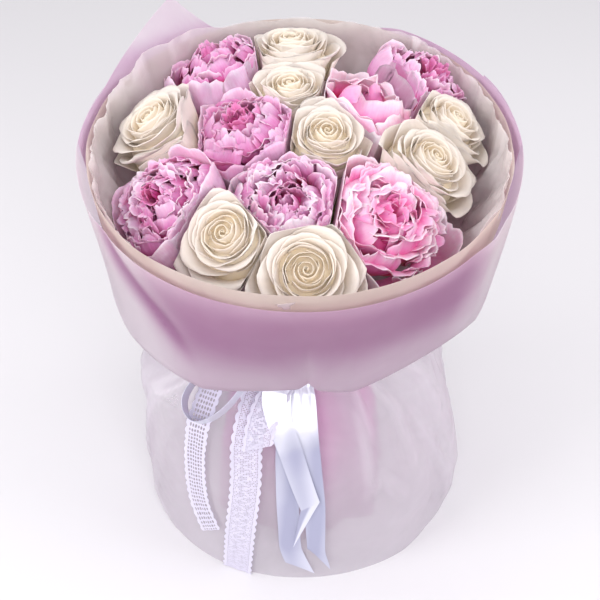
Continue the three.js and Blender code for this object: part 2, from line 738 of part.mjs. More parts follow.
// The bow's loops: the satin one, and a shorter one of lace inside it.
const LOOPS = [
  { name: "satin_loop", look: SATIN, height: 15, steps: 14, rise: new THREE.Vector3(-0.25, -0.55, 0.8),
    way: [[0.12, -34, 8], [0.7, -40, 6.6], [1.3, -42, 6], [1.6, -50, 6], [1.35, -61, 6], [0.95, -62, 6.6],
      [0.4, -50, 8]] },
  { name: "lace_loop", look: LACE, height: 13, steps: 10, rise: new THREE.Vector3(-0.2, -0.5, 0.85),
    way: [[0.5, -45, 6.4], [0.95, -46, 5.6], [1.25, -49, 5.5], [0.95, -55, 5.6], [0.6, -50, 6.4]] },
];

const KNOT = { reach: [16, 7.5, 9], middle: [-5, -38, 233.2] };
function knotSolid() {
  const ball = new THREE.SphereGeometry(1, 8, 6);
  ball.rotateX(90 * DEG);
  ball.scale(...KNOT.reach);
  ball.translate(...KNOT.middle);
  return solidOfGeometry(ball);
}

// The satin band round the waist.
function bandSolid(middle, width, radius) {
  const rule = (azimuth, j) => [radius, middle + (j - 0.5) * width];
  return blade(sheetRows(2, 0, 360, rule), SHEET, true);
}

// ---- The bouquet ----

for (const bloom of PLACED) addPiece(bloom.name, bloomSolid(bloom), bloom.colour);
for (const place of stemPlaces()) addPiece(`${place.bloom.name}_stem`, stemSolid(place), GREEN);
addPiece("binding_twine", twineSolid(), TWINE);
addPiece("clear_film", clearFilm(), CLEAR);
addPiece("cream_lining", lining(), CREAM);
addPiece("collar_back_sheet", collarBack(), LILAC);
addPiece("collar_front_sheet", collarFront(), LILAC);
addPiece("paper_skirt", paperSkirt(), LILAC);
addPiece("film_skirt", filmSkirt(), FROST);
addPiece("satin_band", bandSolid(233.5, 13, waistRadius(6)), SATIN);
addPiece("satin_knot", knotSolid(), SATIN);
for (const ribbon of RIBBONS) addPiece(ribbon.name, ribbonSolid(ribbon), ribbon.look);
for (const loop of LOOPS) addPiece(loop.name, loopSolid(loop), loop.look);

export default bouquet;
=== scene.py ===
# A hand-tied bouquet of seven peonies and eight garden roses, wrapped in film and paper and bound
# with satin and lace ribbon. Sizes are in millimetres until a mesh is made, +Z is up and -Y is the
# front. Azimuths are in degrees from the front, positive to the right.
import math
import random

import bpy
import numpy as np
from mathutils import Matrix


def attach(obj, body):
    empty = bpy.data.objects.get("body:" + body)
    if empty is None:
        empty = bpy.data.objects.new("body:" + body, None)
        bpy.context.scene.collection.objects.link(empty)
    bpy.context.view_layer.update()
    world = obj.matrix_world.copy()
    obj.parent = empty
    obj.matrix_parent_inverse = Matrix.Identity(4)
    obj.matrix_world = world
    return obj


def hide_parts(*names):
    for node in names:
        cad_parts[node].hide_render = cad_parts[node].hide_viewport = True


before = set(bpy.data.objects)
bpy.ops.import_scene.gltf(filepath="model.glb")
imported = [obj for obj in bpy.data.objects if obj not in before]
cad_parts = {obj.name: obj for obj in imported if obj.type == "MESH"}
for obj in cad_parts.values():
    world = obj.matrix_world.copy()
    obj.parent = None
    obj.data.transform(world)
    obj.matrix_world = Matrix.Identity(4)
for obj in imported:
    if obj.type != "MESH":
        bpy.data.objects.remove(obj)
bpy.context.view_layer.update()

# ---- Camera, floor and light ----
# The bouquet is seen from in front and from well above, as it stands on a low table. It is lit as
# in a bright white studio: a soft box at each side, one above, one in front, and pale walls.
# Places and sizes in this section are in metres.
CAMERA_PLACE = (0, -0.934, 1.093)
CAMERA_TILT = math.radians(48.6)
CAMERA_LENS = 72
FLOOR_SIZE = 24
SOFT_BOXES = [
    # place, size, power
    ((-1.5, -0.7, 1.2), 1.2, 18),
    ((1.5, -0.2, 1.1), 1.2, 11),
    ((-0.2, 0.3, 1.9), 1.4, 5),
    ((0.2, -1.7, 1.7), 1.2, 19),
]
LIT_POINT = np.array([0, 0, 0.36])
WALL_COLOUR = (0.95, 0.94, 0.95, 1)
WALL_LIGHT = 0.74


def look_of(name):
    """A new material and its node tree."""
    material = bpy.data.materials.new(name)
    material.use_nodes = True
    return material, material.node_tree


def feed(tree, node, inputs):
    """Gives a node's inputs their values, or the sockets that feed them."""
    for socket, value in inputs.items():
        if isinstance(value, bpy.types.NodeSocket):
            tree.links.new(value, node.inputs[socket])
        else:
            node.inputs[socket].default_value = value


def surface(tree, inputs):
    """The same for the Principled node of a material."""
    feed(tree, tree.nodes["Principled BSDF"], inputs)


def rgb(red, green, blue):
    """The linear colour, with alpha, for a screen colour from 0 to 255."""
    shares = [c / 255 for c in (red, green, blue)]
    return tuple(c / 12.92 if c < 0.0431 else ((c + 0.055) / 1.055) ** 2.4 for c in shares) + (1,)


bpy.ops.object.select_all(action="DESELECT")
bpy.ops.object.camera_add(location=CAMERA_PLACE, rotation=(CAMERA_TILT, 0, 0))
camera = bpy.context.object
camera.data.lens = CAMERA_LENS
bpy.context.scene.camera = camera
bpy.context.scene.view_settings.view_transform = "Standard"

bpy.ops.mesh.primitive_plane_add(size=FLOOR_SIZE)
floor = bpy.context.object
floor.name = "floor"
floor_look, tree = look_of("pale_floor")
surface(tree, {"Base Color": rgb(224, 222, 226), "Roughness": 0.55})
floor.data.materials.append(floor_look)

for spot, size, power in SOFT_BOXES:
    bpy.ops.object.light_add(type="AREA", location=spot)
    lamp = bpy.context.object
    lamp.data.size = size
    lamp.data.energy = power
    aim = LIT_POINT - np.array(spot)
    yaw = math.atan2(aim[1], aim[0]) - math.pi / 2
    lamp.rotation_euler = (math.atan2(np.hypot(aim[0], aim[1]), -aim[2]), 0, yaw)

world = bpy.data.worlds.new("studio")
world.use_nodes = True
feed(world.node_tree, world.node_tree.nodes["Background"], {"Color": WALL_COLOUR, "Strength": WALL_LIGHT})
bpy.context.scene.world = world

# ---- Stems ----
# Fifteen fresh green stems cross in a spiral at the waist and splay to their level cuts. Each
# swells to the green cup under its bloom. They are hidden by the wrapping from almost all sides.
STEM_DARK, STEM_LIGHT = (66, 92, 44), (148, 171, 98)
STEM_STREAKS = 60  # scale of the streaks
STEM_SMOOTHING = 2  # levels of subdivision


def place(tree, kind, inputs=None, **settings):
    """A new shader node with its settings, its plain inputs and the sockets that feed it."""
    node = tree.nodes.new("ShaderNode" + kind)
    for key, value in settings.items():
        setattr(node, key, value)
    feed(tree, node, inputs or {})
    return node


def out_of(tree, kind, inputs=None, output=0, **settings):
    """One output of such a node."""
    return place(tree, kind, inputs, **settings).outputs[output]


def noise(tree, scale, detail=2, distortion=0):
    """Soft random patches that keep their place on a piece."""
    where = out_of(tree, "TexCoord", output="Object")
    inputs = {"Vector": where, "Scale": scale, "Detail": detail, "Distortion": distortion}
    return out_of(tree, "TexNoise", inputs, output="Fac")


def ramp(tree, level, stops):
    """The colour at a level, between stops of (level, screen colour)."""
    node = place(tree, "ValToRGB", {"Fac": level})
    elements = node.color_ramp.elements
    while len(elements) < len(stops):
        elements.new(0.5)
    for element, (position, _) in zip(elements, stops):
        element.position = position
    for element, (_, colour) in zip(elements, stops):
        element.color = rgb(*colour)
    return node.outputs["Color"]


stem_look, tree = look_of("stem_green")
streaks = noise(tree, STEM_STREAKS, detail=4)
surface(tree, {"Base Color": ramp(tree, streaks, [(0, STEM_DARK), (1, STEM_LIGHT)]), "Roughness": 0.5})
for name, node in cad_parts.items():
    if name.endswith("_stem"):
        node.data.materials.clear()
        node.data.materials.append(stem_look)
        node.data.polygons.foreach_set("use_smooth", [True] * len(node.data.polygons))
        node.modifiers.new("merge", "WELD").merge_threshold = 1e-5
        round_off = node.modifiers.new("round", "SUBSURF")
        round_off.levels = round_off.render_levels = STEM_SMOOTHING

# ---- Twine ----
# Two layers of jute twine round the crossing of the stems, wound tight and knotted out of sight.
# Each turn is a closed ring, tipped a little the other way from the one below it.
WAIST_Z = 235
TWINE = 1.5  # its radius
TWINE_LAYERS = ((18.4, 4), (20.9, 3))  # radius and number of turns, from the inside out
TWINE_TIP = 0.03
JUTE_DARK, JUTE_LIGHT = (120, 96, 62), (206, 182, 140)


def dress(piece, look, node):
    """Gives a finished piece its material and its place in the frame."""
    piece.data.materials.append(look)
    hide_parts(node)
    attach(piece, "root")


turns = []
for radius, count in TWINE_LAYERS:
    for k in range(count):
        bpy.ops.mesh.primitive_torus_add(
            major_radius=radius / 1000,
            minor_radius=TWINE / 1000,
            major_segments=96,
            minor_segments=10,
            location=(0, 0, (WAIST_Z + (2 * k + 1 - count) * TWINE) / 1000),
            rotation=(TWINE_TIP * (-1) ** k, TWINE_TIP, 0),
        )
        turns.append(bpy.context.object)
for turn in turns:
    turn.select_set(True)
bpy.ops.object.join()
twine = bpy.context.object
twine.name = "twine_turns"
bpy.ops.object.transform_apply()
bpy.ops.object.shade_smooth()
twine_look, tree = look_of("jute")
strands = noise(tree, 900)
surface(tree, {"Base Color": ramp(tree, strands, [(0, JUTE_DARK), (1, JUTE_LIGHT)]), "Roughness": 0.9})
dress(twine, twine_look, "binding_twine")

# ---- Peonies ----
# Five mauve and two pink double peonies. Broad smooth guard petals cup a dense mass of narrow
# ruffled ones, pale at their crinkled rims and magenta towards their roots, with painted shade that
# deepens the magenta where they fold down into the flower. Every petal starts as the same small
# grid, and the blooms press flat against each other and the film.
PEONIES = {
    # guard petals, ruffled petals, size of a ruffled petal, how much paler, colour, seed
    "peony_1": (7, 40, 0.95, 0.0, "mauve", 11),
    "peony_2": (7, 54, 1.05, -0.06, "mauve", 12),
    "peony_3": (7, 66, 0.95, 0.0, "mauve", 13),
    "peony_4": (6, 74, 0.9, 0.08, "mauve", 14),
    "peony_5": (8, 54, 1.3, 0.08, "pink", 15),
    "peony_6": (7, 40, 0.95, 0.0, "mauve", 16),
    "peony_7": (8, 9, 2.3, 0.2, "pink", 17),
}
BLOOMS = {
    # middle of the face, radius, how far it has opened, how far it nods to the front in degrees
    "peony_1": ((-87, 144, 483), 53, 0.15, 22),
    "peony_2": ((-57, 36, 472), 62, 0.35, 12),
    "peony_3": ((-133, -54, 449), 57, 0.6, 4),
    "peony_4": ((-13, -63, 453), 60, 0.7, 6),
    "peony_5": ((85, -77, 447), 66, 0.9, 4),
    "peony_6": ((136, 120, 477), 60, 0.2, 22),
    "peony_7": ((70, 73, 477), 60, 0.5, 14),
    "rose_1": ((-145, 46, 467), 52, 0.7, 14),
    "rose_2": ((-9, 158, 487), 49, 0.6, 24),
    "rose_3": ((-10, 87, 480), 45, 0.3, 22),
    "rose_4": ((26, 21, 471), 43, 0.3, 22),
    "rose_5": ((-68, -102, 442), 49, 0.6, 6),
    "rose_6": ((6, -142, 432), 54, 0.8, 4),
    "rose_7": ((127, -8, 459), 49, 0.5, 12),
    "rose_8": ((151, 47, 466), 45, 0.4, 16),
}
FAN = np.array([0, 0, WAIST_Z])  # where the stems cross, and each bloom faces away from
BOWL = [(36, 264), (118, 318), (168, 362), (186, 404), (193, 450), (198, 490)]  # radius, height
BOWL_MARGIN = 5.8
HEART_SHARE = 0.55  # of the bloom's depth, where its heart is
PRESS = 4  # a petal gives way within this distance of a wall
NEAREST = 0.7  # and ends no nearer than this
CORNER_REACH = 1.22  # a petal squeezed into a corner reaches out to this many radii
CORNER_SOFT = 0.85  # and is drawn in from this share of that
CORNER_DROP = 0.7  # and drops by this share of what it reaches past the radius
PETAL_COLUMNS, PETAL_ROWS = 14, 16
PETAL_STEPS = 40  # along its bent middle line
PETAL_THICKNESS = 0.35
GOLDEN = math.radians(137.508)  # from one petal to the next

bpy.ops.object.select_all(action="DESELECT")
bpy.ops.mesh.primitive_grid_add(x_subdivisions=PETAL_COLUMNS, y_subdivisions=PETAL_ROWS, size=2)
blank = bpy.context.object
blank_points = np.array([v.co[:] for v in blank.data.vertices])
ACROSS = blank_points[:, 0]  # -1 to 1
ALONG = (blank_points[:, 1] + 1) / 2  # 0 at the root, 1 at the tip
PETAL_FACES = np.array([p.vertices[:] for p in blank.data.polygons])
bpy.data.objects.remove(blank)


def between(low, high, share):
    return low + (high - low) * share


def eased(x, low, high):
    """0 below low, 1 above high, and a smooth step between."""
    share = np.clip((x - low) / (high - low), 0, 1)
    return share * share * (3 - 2 * share)


def bell(x, middle, width):
    """1 in the middle, and less on both sides."""
    return np.exp(-(((x - middle) / width) ** 2))


def turned(x, y, angle):
    return x * np.cos(angle) - y * np.sin(angle), x * np.sin(angle) + y * np.cos(angle)


def unit(vectors):
    return vectors / np.linalg.norm(vectors, axis=-1, keepdims=True)


def petal(draw, bend, reach, foot, top, width, azimuth, twist=0, tuck=0, rounding=0.2, notch=0, ruffle=0,
          waves=2, claw=0.35, flat=0, yaw=0, crease=0.25, point=0):
    """One petal in its bloom's own frame. bend is a list of (share of its length, slope in degrees):
    90 is straight up, less leans out and more leans in. The petal's widest circle has radius reach."""
    share = np.linspace(0, 1, PETAL_STEPS + 1)
    slope = np.radians(np.interp(share, *zip(*bend)))
    run = np.concatenate([[0], np.cumsum(np.cos(slope))[:-1]]) / PETAL_STEPS
    rise = np.concatenate([[0], np.cumsum(np.sin(slope))[:-1]]) / PETAL_STEPS
    length = (top - foot) / rise.max()
    root = max(reach - length * run.max(), 0.25 * reach)
    t = ACROSS
    phases = [draw.uniform(0, 6.28) for _ in range(5)]
    rim = 1 - rounding * np.abs(t) ** 2.3 + point * bell(t, 0, 0.18)
    rim -= notch * (0.5 + 0.5 * np.cos(7 * t + phases[0])) * (0.6 + 0.4 * np.cos(17 * t + phases[1]))
    s = ALONG * rim
    angle = np.interp(s, share, slope)
    wave = np.sin(waves * math.pi * t + phases[2]) + 0.5 * np.sin(2.3 * waves * math.pi * t + phases[3])
    wave = wave * ruffle * eased(s, 0.35, 1.0)
    wave += crease * np.sin(14 * t + phases[4] + 1.5 * s) * eased(s, 0.1, 0.7)
    x = root + length * np.interp(s, share, run) + tuck * t * s + wave * np.sin(angle)
    z = foot + length * np.interp(s, share, rise) - wave * np.cos(angle)
    side = t * width * (claw + (1 - claw) * eased(s, 0, 0.6))
    wrap = np.clip(side / np.maximum(x, 0.5 * reach), -2.7, 2.7)
    out = (1 - flat) * x * np.cos(wrap) + flat * x - root
    out, side = turned(out, (1 - flat) * x * np.sin(wrap) + flat * side, yaw)
    x, y = turned(root + out, side, azimuth + twist * s)
    return np.stack([x, y, z], 1)


def heart(bloom, share, top, blush_and_shade):
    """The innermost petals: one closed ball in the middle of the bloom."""
    x = (2 * ALONG - 1) * math.pi / 2
    ring = share * bloom.radius * np.cos(x)
    turn = ACROSS * math.pi
    z = bloom.depth * (0.42 + (top - 0.42) * np.sin(x))
    return np.stack([ring * np.cos(turn), ring * np.sin(turn), z], 1), blush_and_shade, blush_and_shade, 0, 0


class Bloom:
    """A bloom's place: its axis, its base, its depth, its heart and the directions of its face,
    which is turned to the front about the heart."""

    def __init__(self, name):
        middle, self.radius, self.open, nod = BLOOMS[name]
        self.axis = unit(np.array(middle) - FAN)
        self.depth = 0.9 * self.radius + 9
        self.base = np.array(middle) - self.axis * self.depth
        self.heart = self.base + HEART_SHARE * self.depth * self.axis
        self.spread = math.asin(self.radius / np.linalg.norm(self.heart - FAN))
        self.face = np.array([self.axis[0], *turned(self.axis[1], self.axis[2], math.radians(nod))])
        self.right = unit(np.cross([0, 1, 0], self.face))
        self.up = np.cross(self.face, self.right)

    def world(self, points):
        """Points of the bloom's own frame, in the bouquet's."""
        points = points - [0, 0, HEART_SHARE * self.depth]
        return self.heart + points @ np.array([self.right, self.up, self.face])


placed = {name: Bloom(name) for name in BLOOMS}


def walls_of(name):
    """The directions towards the planes that the bloom's neighbours press on."""
    bloom, walls = placed[name], []
    for other_name, other in placed.items():
        apart = math.acos(np.clip(bloom.axis @ other.axis, -1, 1))
        if other_name == name or apart > 1.5 * (bloom.spread + other.spread):
            continue
        side = unit(np.cross(bloom.axis, other.axis))
        part = apart * bloom.spread / (bloom.spread + other.spread)
        along = bloom.axis * math.cos(part) + np.cross(side, bloom.axis) * math.sin(part)
        walls.append(np.cross(side, along))
    return walls


def give_way(distance):
    """How far a point ends from a wall that it would lie at this distance from, or past."""
    room = PRESS - NEAREST
    pushed = NEAREST + room * np.exp((np.minimum(distance, PRESS) - PRESS) / room)
    return np.where(distance > PRESS, distance, pushed)


def bowl_radius(z):
    return np.interp(z, [height for _, height in BOWL], [radius for radius, _ in BOWL])


def pressed(points, walls, bloom):
    """The points, pushed in from the walls, from the corners between them and from the bowl."""
    from_base = points - bloom.base
    up = from_base @ bloom.axis
    aside = from_base - np.outer(up, bloom.axis)
    out = np.linalg.norm(aside, axis=1)
    widest, soft = CORNER_REACH * bloom.radius, 1 - CORNER_SOFT
    drawn_in = widest * (CORNER_SOFT + soft * np.tanh((out / widest - CORNER_SOFT) / soft))
    kept = np.where(out > CORNER_SOFT * widest, drawn_in, out)
    up = up - CORNER_DROP * np.maximum(kept - bloom.radius, 0)
    points = bloom.base + np.outer(up, bloom.axis) + aside * (kept / np.maximum(out, 1))[:, None]
    for _ in range(3):
        for wall in walls:
            inside = -(points - FAN) @ wall
            points = points + np.outer(inside - give_way(inside), wall)
    limit = bowl_radius(points[:, 2]) - BOWL_MARGIN
    radius = np.hypot(points[:, 0], points[:, 1])
    kept = (limit - give_way(limit - radius)) / radius
    return points * np.stack([kept, kept, np.ones(len(kept))], 1)


def thickened(name, mesh, thickness):
    """A new piece from a mesh without thickness, the only one selected."""
    piece = bpy.data.objects.new(name, mesh)
    bpy.context.collection.objects.link(piece)
    bpy.ops.object.select_all(action="DESELECT")
    bpy.context.view_layer.objects.active = piece
    piece.select_set(True)
    solid = piece.modifiers.new("thickness", "SOLIDIFY")
    solid.thickness = thickness / 1000
    solid.offset = 0
    bpy.ops.object.modifier_apply(modifier="thickness")
    return piece


def bloom_piece(name, petals, look):
    """Joins a bloom's petals into one piece and gives them their thickness. petals is a list of
    (points, blush at the tip, blush at the root, tone, how much painted shade deepens its colour
    where it lies low in the bloom)."""
    bloom, walls = placed[name], walls_of(name)
    points, faces, blush_and_shade, tone = [], [], [], []
    for k, (local, tip, root, shade, hollow_shade) in enumerate(petals):
        # Painted shade: the colour deepens by how far a point lies below the bloom's rounded face, added to
        # the petal's own blush from rim to root.
        dome = bloom.depth * (1.1 - 0.3 * (np.hypot(local[:, 0], local[:, 1]) / bloom.radius) ** 2)
        under = np.clip((dome - local[:, 2]) / (0.45 * bloom.depth) - 0.1, 0, 1)
        points.append(pressed(bloom.world(local), walls, bloom))
        faces.append(PETAL_FACES + k * len(ACROSS))
        blush_and_shade.append(tip + (root - tip) * (1 - ALONG) ** 1.6 - 0.08 * eased(ALONG, 0.86, 1) + hollow_shade * under)
        tone.append(np.full(len(ACROSS), shade))
    faces = np.concatenate(faces)
    flat = np.tile(np.stack([ACROSS / 2 + 0.5, ALONG], 1), (len(petals), 1))
    mesh = bpy.data.meshes.new(name + "_petals")
    mesh.from_pydata((np.concatenate(points) / 1000).tolist(), [], faces.tolist())
    for key, values in (("blush_and_shade", blush_and_shade), ("tone", tone)):
        mesh.attributes.new(key, "FLOAT", "POINT").data.foreach_set("value", np.concatenate(values))
    mesh.uv_layers.new(name="petal").data.foreach_set("uv", flat[faces.ravel()].ravel())
    piece = thickened(name + "_petals", mesh, PETAL_THICKNESS)
    bpy.ops.object.shade_smooth()
    dress(piece, look, name)


# The fine parallel veins of a petal, and the soft blotches between them. Peonies and roses share
# them, each with its own strength.
veins = bpy.data.node_groups.new("petal_veins", "ShaderNodeTree")
for socket, way in (("Fineness", "INPUT"), ("Mask", "OUTPUT"), ("Blotch", "OUTPUT")):
    veins.interface.new_socket(socket, in_out=way, socket_type="NodeSocketFloat")
group_in, group_out = veins.nodes.new("NodeGroupInput"), veins.nodes.new("NodeGroupOutput")
petal_uv = out_of(veins, "UVMap", uv_map="petal")
fine = out_of(veins, "TexNoise", {
    "Vector": out_of(veins, "Mapping", {"Vector": petal_uv, "Scale": (1, 0.12, 1)}),
    "Scale": group_in.outputs["Fineness"],
    "Detail": 3,
    "Roughness": 0.6,
}, output="Fac")
feed(veins, group_out, {"Mask": fine, "Blotch": noise(veins, 90)})
VEIN_FINENESS = 34
BLOTCH_SHARE = 0.3


def scaled(tree, value, factor, more, kept=False):
    """value times factor plus more, and with kept, held from 0 to 1."""
    inputs = {0: value, 1: factor, 2: more}
    return out_of(tree, "Math", inputs, operation="MULTIPLY_ADD", use_clamp=kept)


def attribute(tree, name):
    return out_of(tree, "Attribute", output="Fac", attribute_name=name)


def bumped(tree, height, strength, depth):
    """A surface that rises by up to depth, in metres."""
    return out_of(tree, "Bump", {"Height": height, "Strength": strength, "Distance": depth})


def petal_look(name, stops, vein_share, glow, spread):
    """A petal's material. stops are (level, colour) from the pale rim to the deep root, where the
    level is the petal's blush with painted shade in the hollows of the bloom, and spread is how far
    red, green and blue light travel inside it."""
    material, tree = look_of(name)
    vein = place(tree, "Group", {"Fineness": VEIN_FINENESS}, node_tree=veins).outputs
    lined = scaled(tree, vein["Mask"], vein_share, attribute(tree, "blush_and_shade"))
    blotched = scaled(tree, vein["Blotch"], BLOTCH_SHARE, lined)
    level = scaled(tree, blotched, 1, -0.5 * (vein_share + BLOTCH_SHARE))
    toned = scaled(tree, level, 1, attribute(tree, "tone"))
    surface(tree, {
        "Base Color": ramp(tree, toned, stops),
        "Normal": bumped(tree, vein["Mask"], 0.25, 0.0006),
        "Roughness": 0.5,
        "Specular IOR Level": 0.3,
        "Sheen Weight": 0.15,
        "Subsurface Weight": glow,
        "Subsurface Radius": spread,
        "Subsurface Scale": 0.003,
    })
    return material


PEONY_LOOKS = {
    "mauve": petal_look(
        "mauve_petal",
        [(0.0, (244, 222, 235)), (0.2, (233, 182, 214)), (0.46, (221, 135, 186)), (0.78, (200, 64, 136)),
         (1.0, (168, 16, 66))],
        0.24, 0.45, (1, 0.74, 0.62),
    ),
    "pink": petal_look(
        "pink_petal",
        [(0.0, (252, 228, 240)), (0.2, (249, 188, 218)), (0.46, (245, 140, 194)), (0.78, (236, 82, 156)),
         (1.0, (212, 46, 100))],
        0.22, 0.45, (1, 0.74, 0.62),
    ),
}


def peony_petals(bloom, guards, ruffles, size, paler, draw):
    """The petals of a double peony from its heart out."""
    made = [heart(bloom, 0.6, 0.8, 0.8)]
    for k in range(ruffles):
        out = math.sqrt((k + 0.5) / ruffles)
        top = bloom.depth * (1.15 - 0.33 * out**2) * draw.uniform(0.93, 1.02)
        opens = draw.random() < 0.15 + 0.45 * bloom.open * out
        lean = between(90, draw.uniform(*((20, 72) if opens else (112, 160))), eased(out, -0.2, 0.5))
        bend = [(0, 66 + draw.uniform(-15, 15)), (0.36, 88 + draw.uniform(-10, 10))]
        made.append((
            petal(
                draw,
                bend=bend + [(0.6, between(90, lean, 0.55)), (1, lean)],
                reach=out * bloom.radius * 0.92,
                foot=bloom.depth * between(0.5, 0.3, out),
                top=top,
                width=bloom.radius * size * draw.uniform(0.16, 0.3) * between(0.8, 1.2, out),
                azimuth=k * GOLDEN + draw.uniform(-0.25, 0.25),
                flat=draw.uniform(0.0, 0.8),
                yaw=draw.uniform(-0.9, 0.9) * (1.1 - out),
                ruffle=draw.uniform(1.0, 2.6) * size,
                waves=draw.uniform(0.9, 2.0),
                notch=draw.uniform(0.06, 0.2),
                rounding=draw.uniform(0.05, 0.25),
                twist=draw.uniform(-0.3, 0.3),
                claw=0.45,
                crease=0.35,
            ),
            draw.uniform(0.08, 0.34) + 0.32 * eased(0.5 - out, 0, 0.3),
            draw.uniform(0.9, 1.2),
            draw.uniform(-0.06, 0.12) - paler,
            # how much painted shade deepens the colour in the hollows of the bloom
            0.36,
        ))
    for k in range(guards):
        opened = bloom.open + draw.uniform(-0.1, 0.1)
        rim_slope = between(142, 52, opened) + draw.uniform(-18, 14)
        made.append((
            petal(
                draw,
                bend=[(0, 6), (0.25, 38), (0.52, 86), (0.8, between(118, 84, opened)), (1, rim_slope)],
                reach=bloom.radius * (1.04 if k % 2 else 1.18),
                foot=bloom.depth * 0.04,
                top=bloom.depth * between(0.88, 0.8, opened) * draw.uniform(0.9, 1.08),
                width=bloom.radius * draw.uniform(0.58, 0.76),
                azimuth=k * 2 * math.pi / guards + draw.uniform(-0.2, 0.2),
                flat=0.1,
                ruffle=draw.uniform(1.0, 2.6),
                waves=draw.uniform(1.0, 1.8),
                notch=draw.uniform(0.04, 0.12),
                rounding=draw.uniform(0.1, 0.26),
                tuck=1.2,
                claw=0.3,
                crease=0.2,
            ),
            draw.uniform(0.14, 0.24),
            draw.uniform(0.42, 0.55),
            draw.uniform(-0.04, 0.06) - paler,
            # how much painted shade deepens the colour in the hollows of the bloom
            0.1,
        ))
    return made


for name, (guards, ruffles, size, paler, colour, seed) in PEONIES.items():
    petals = peony_petals(placed[name], guards, ruffles, size, paler, random.Random(seed))
    bloom_piece(name, petals, PEONY_LOOKS[colour])

# ---- Roses ----
# Eight ivory garden roses. The petals wrap in a spiral, closed in the middle, and turn out more
# and more towards the outside, where the rims roll back to a point. The depths are creamy, and
# painted shade deepens the cream where a petal lies low in the bloom.
ROSES = {
    # number of petals
    "rose_1": 32, "rose_2": 30, "rose_3": 28, "rose_4": 28,
    "rose_5": 32, "rose_6": 34, "rose_7": 32, "rose_8": 28,
}
FIRST_ROSE_SEED = 31
ivory_look = petal_look(
    "ivory_petal",
    [(0.0, (228, 217, 210)), (0.3, (236, 223, 209)), (0.6, (248, 231, 203)), (0.85, (250, 226, 186)),
     (1.0, (246, 214, 160))],
    0.06, 0.35, (0.7, 0.7, 0.7),
)


def rose_petals(bloom, count, draw):
    """The petals of a garden rose from its spiral middle out."""
    made = [heart(bloom, 0.76, 0.9, 0.55)]
    for k in range(count):
        out = k / (count - 1)
        flare = eased(out, 0.12, 0.95) * between(0.75, 1.1, bloom.open)
        tops = [1.02, 1.07, 1.05, 0.95, between(0.86, 0.74, bloom.open)]
        top = bloom.depth * np.interp(out, [0, 0.15, 0.45, 0.75, 1], tops)
        rim_slope = between(96, -36, flare) + draw.uniform(-16, 16)
        made.append((
            petal(
                draw,
                bend=[(0, between(85, 12, out)), (0.45, between(92, 68, out)), (0.7, between(100, 62, flare)),
                      (0.88, between(104, 30, flare)), (1, rim_slope)],
                reach=bloom.radius * (0.05 + 0.9 * out**0.9 + 0.3 * eased(out, 0.7, 1)),
                foot=bloom.depth * between(0.55, 0.06, out),
                top=top * draw.uniform(0.985, 1.02),
                width=bloom.radius * np.interp(out, [0, 0.3, 0.6, 1], [0.22, 0.42, 0.64, 0.95]),
                azimuth=k * GOLDEN + draw.uniform(-0.15, 0.15),
                tuck=bloom.radius * 0.045,
                rounding=between(0.08, 0.26, out),
                point=0.04 * out,
                notch=draw.uniform(0, 0.03),
                ruffle=draw.uniform(0.4, 1.3) * between(0.2, 2.2, out),
                waves=draw.uniform(0.7, 1.5),
                claw=between(0.8, 0.4, out),
                crease=0.12,
            ),
            draw.uniform(0.0, 0.12) + 0.45 * (1 - out) ** 2,
            between(0.8, 0.6, out),
            between(0.1, 0.0, out),
            # how much painted shade deepens the colour in the hollows of the bloom
            between(0.05, 0.2, out),
        ))
    return made


for seed, (name, count) in enumerate(ROSES.items(), start=FIRST_ROSE_SEED):
    petals = rose_petals(placed[name], count, random.Random(seed))
    bloom_piece(name, petals, ivory_look)

# ---- Clear film ----
# A bowl of clear florist's film round the blooms, gathered at the waist. It is crushed and creased,
# with hard white glints, sinks into the gaps between the blooms and stands up to an uneven cut rim.
COLUMNS = 288  # points round each wrap
WAIST_FOOT, WAIST_TOP = 222, 246
CLEAR_ROWS = 56
DEEPEST_SINK = 27  # how far the film sinks into a gap
CLEAR_THICKNESS = 0.15


def waist_radius(layer):
    return 23.1 + 1.2 * layer


def neck_height(layer):
    return WAIST_TOP + (3 - layer) * 1.6


def rim_height(azimuth):
    return 457 - 22 * np.cos(np.radians(azimuth))


def around(azimuth, radius, z):
    a = np.radians(azimuth)
    return np.stack([radius * np.sin(a), -radius * np.cos(a), z + 0 * a], -1)


def plateau(x, start, full, falling, end):
    """1 between full and falling, and 0 before start and after end."""
    return eased(x, start, full) * (1 - eased(x, falling, end))


def creases(points, seed, size, count):
    """Flat facets that meet in sharp creases, as in crushed film. From -1 to 1 at each point."""
    draw = random.Random(seed)
    height = np.zeros(points.shape[:-1])
    for _ in range(count):
        way = unit(np.array([draw.gauss(0, 1) for _ in range(3)])) / (size * draw.uniform(0.6, 1.7))
        height += np.abs((points @ way + draw.random()) % 1 - 0.5) * 4 - 1
    return height / math.sqrt(count)


def softened(rows, passes):
    """Rounds the folds between rows, with the first and the last row kept."""
    for _ in range(passes):
        rows[1:-1] = (rows[:-2] + 2 * rows[1:-1] + rows[2:]) / 4
    return rows


def along_keys(radii, heights, count):
    """Points along a profile given for each azimuth by its keys: arrays of (rows, columns)."""
    steps = np.hypot(np.diff(radii, axis=0), np.diff(heights, axis=0)).mean(1)
    at = np.concatenate([[0], np.cumsum(steps)])
    wanted = np.linspace(0, at[-1], count)
    return (np.stack([np.interp(wanted, at, column) for column in keys.T], 1) for keys in (radii, heights))


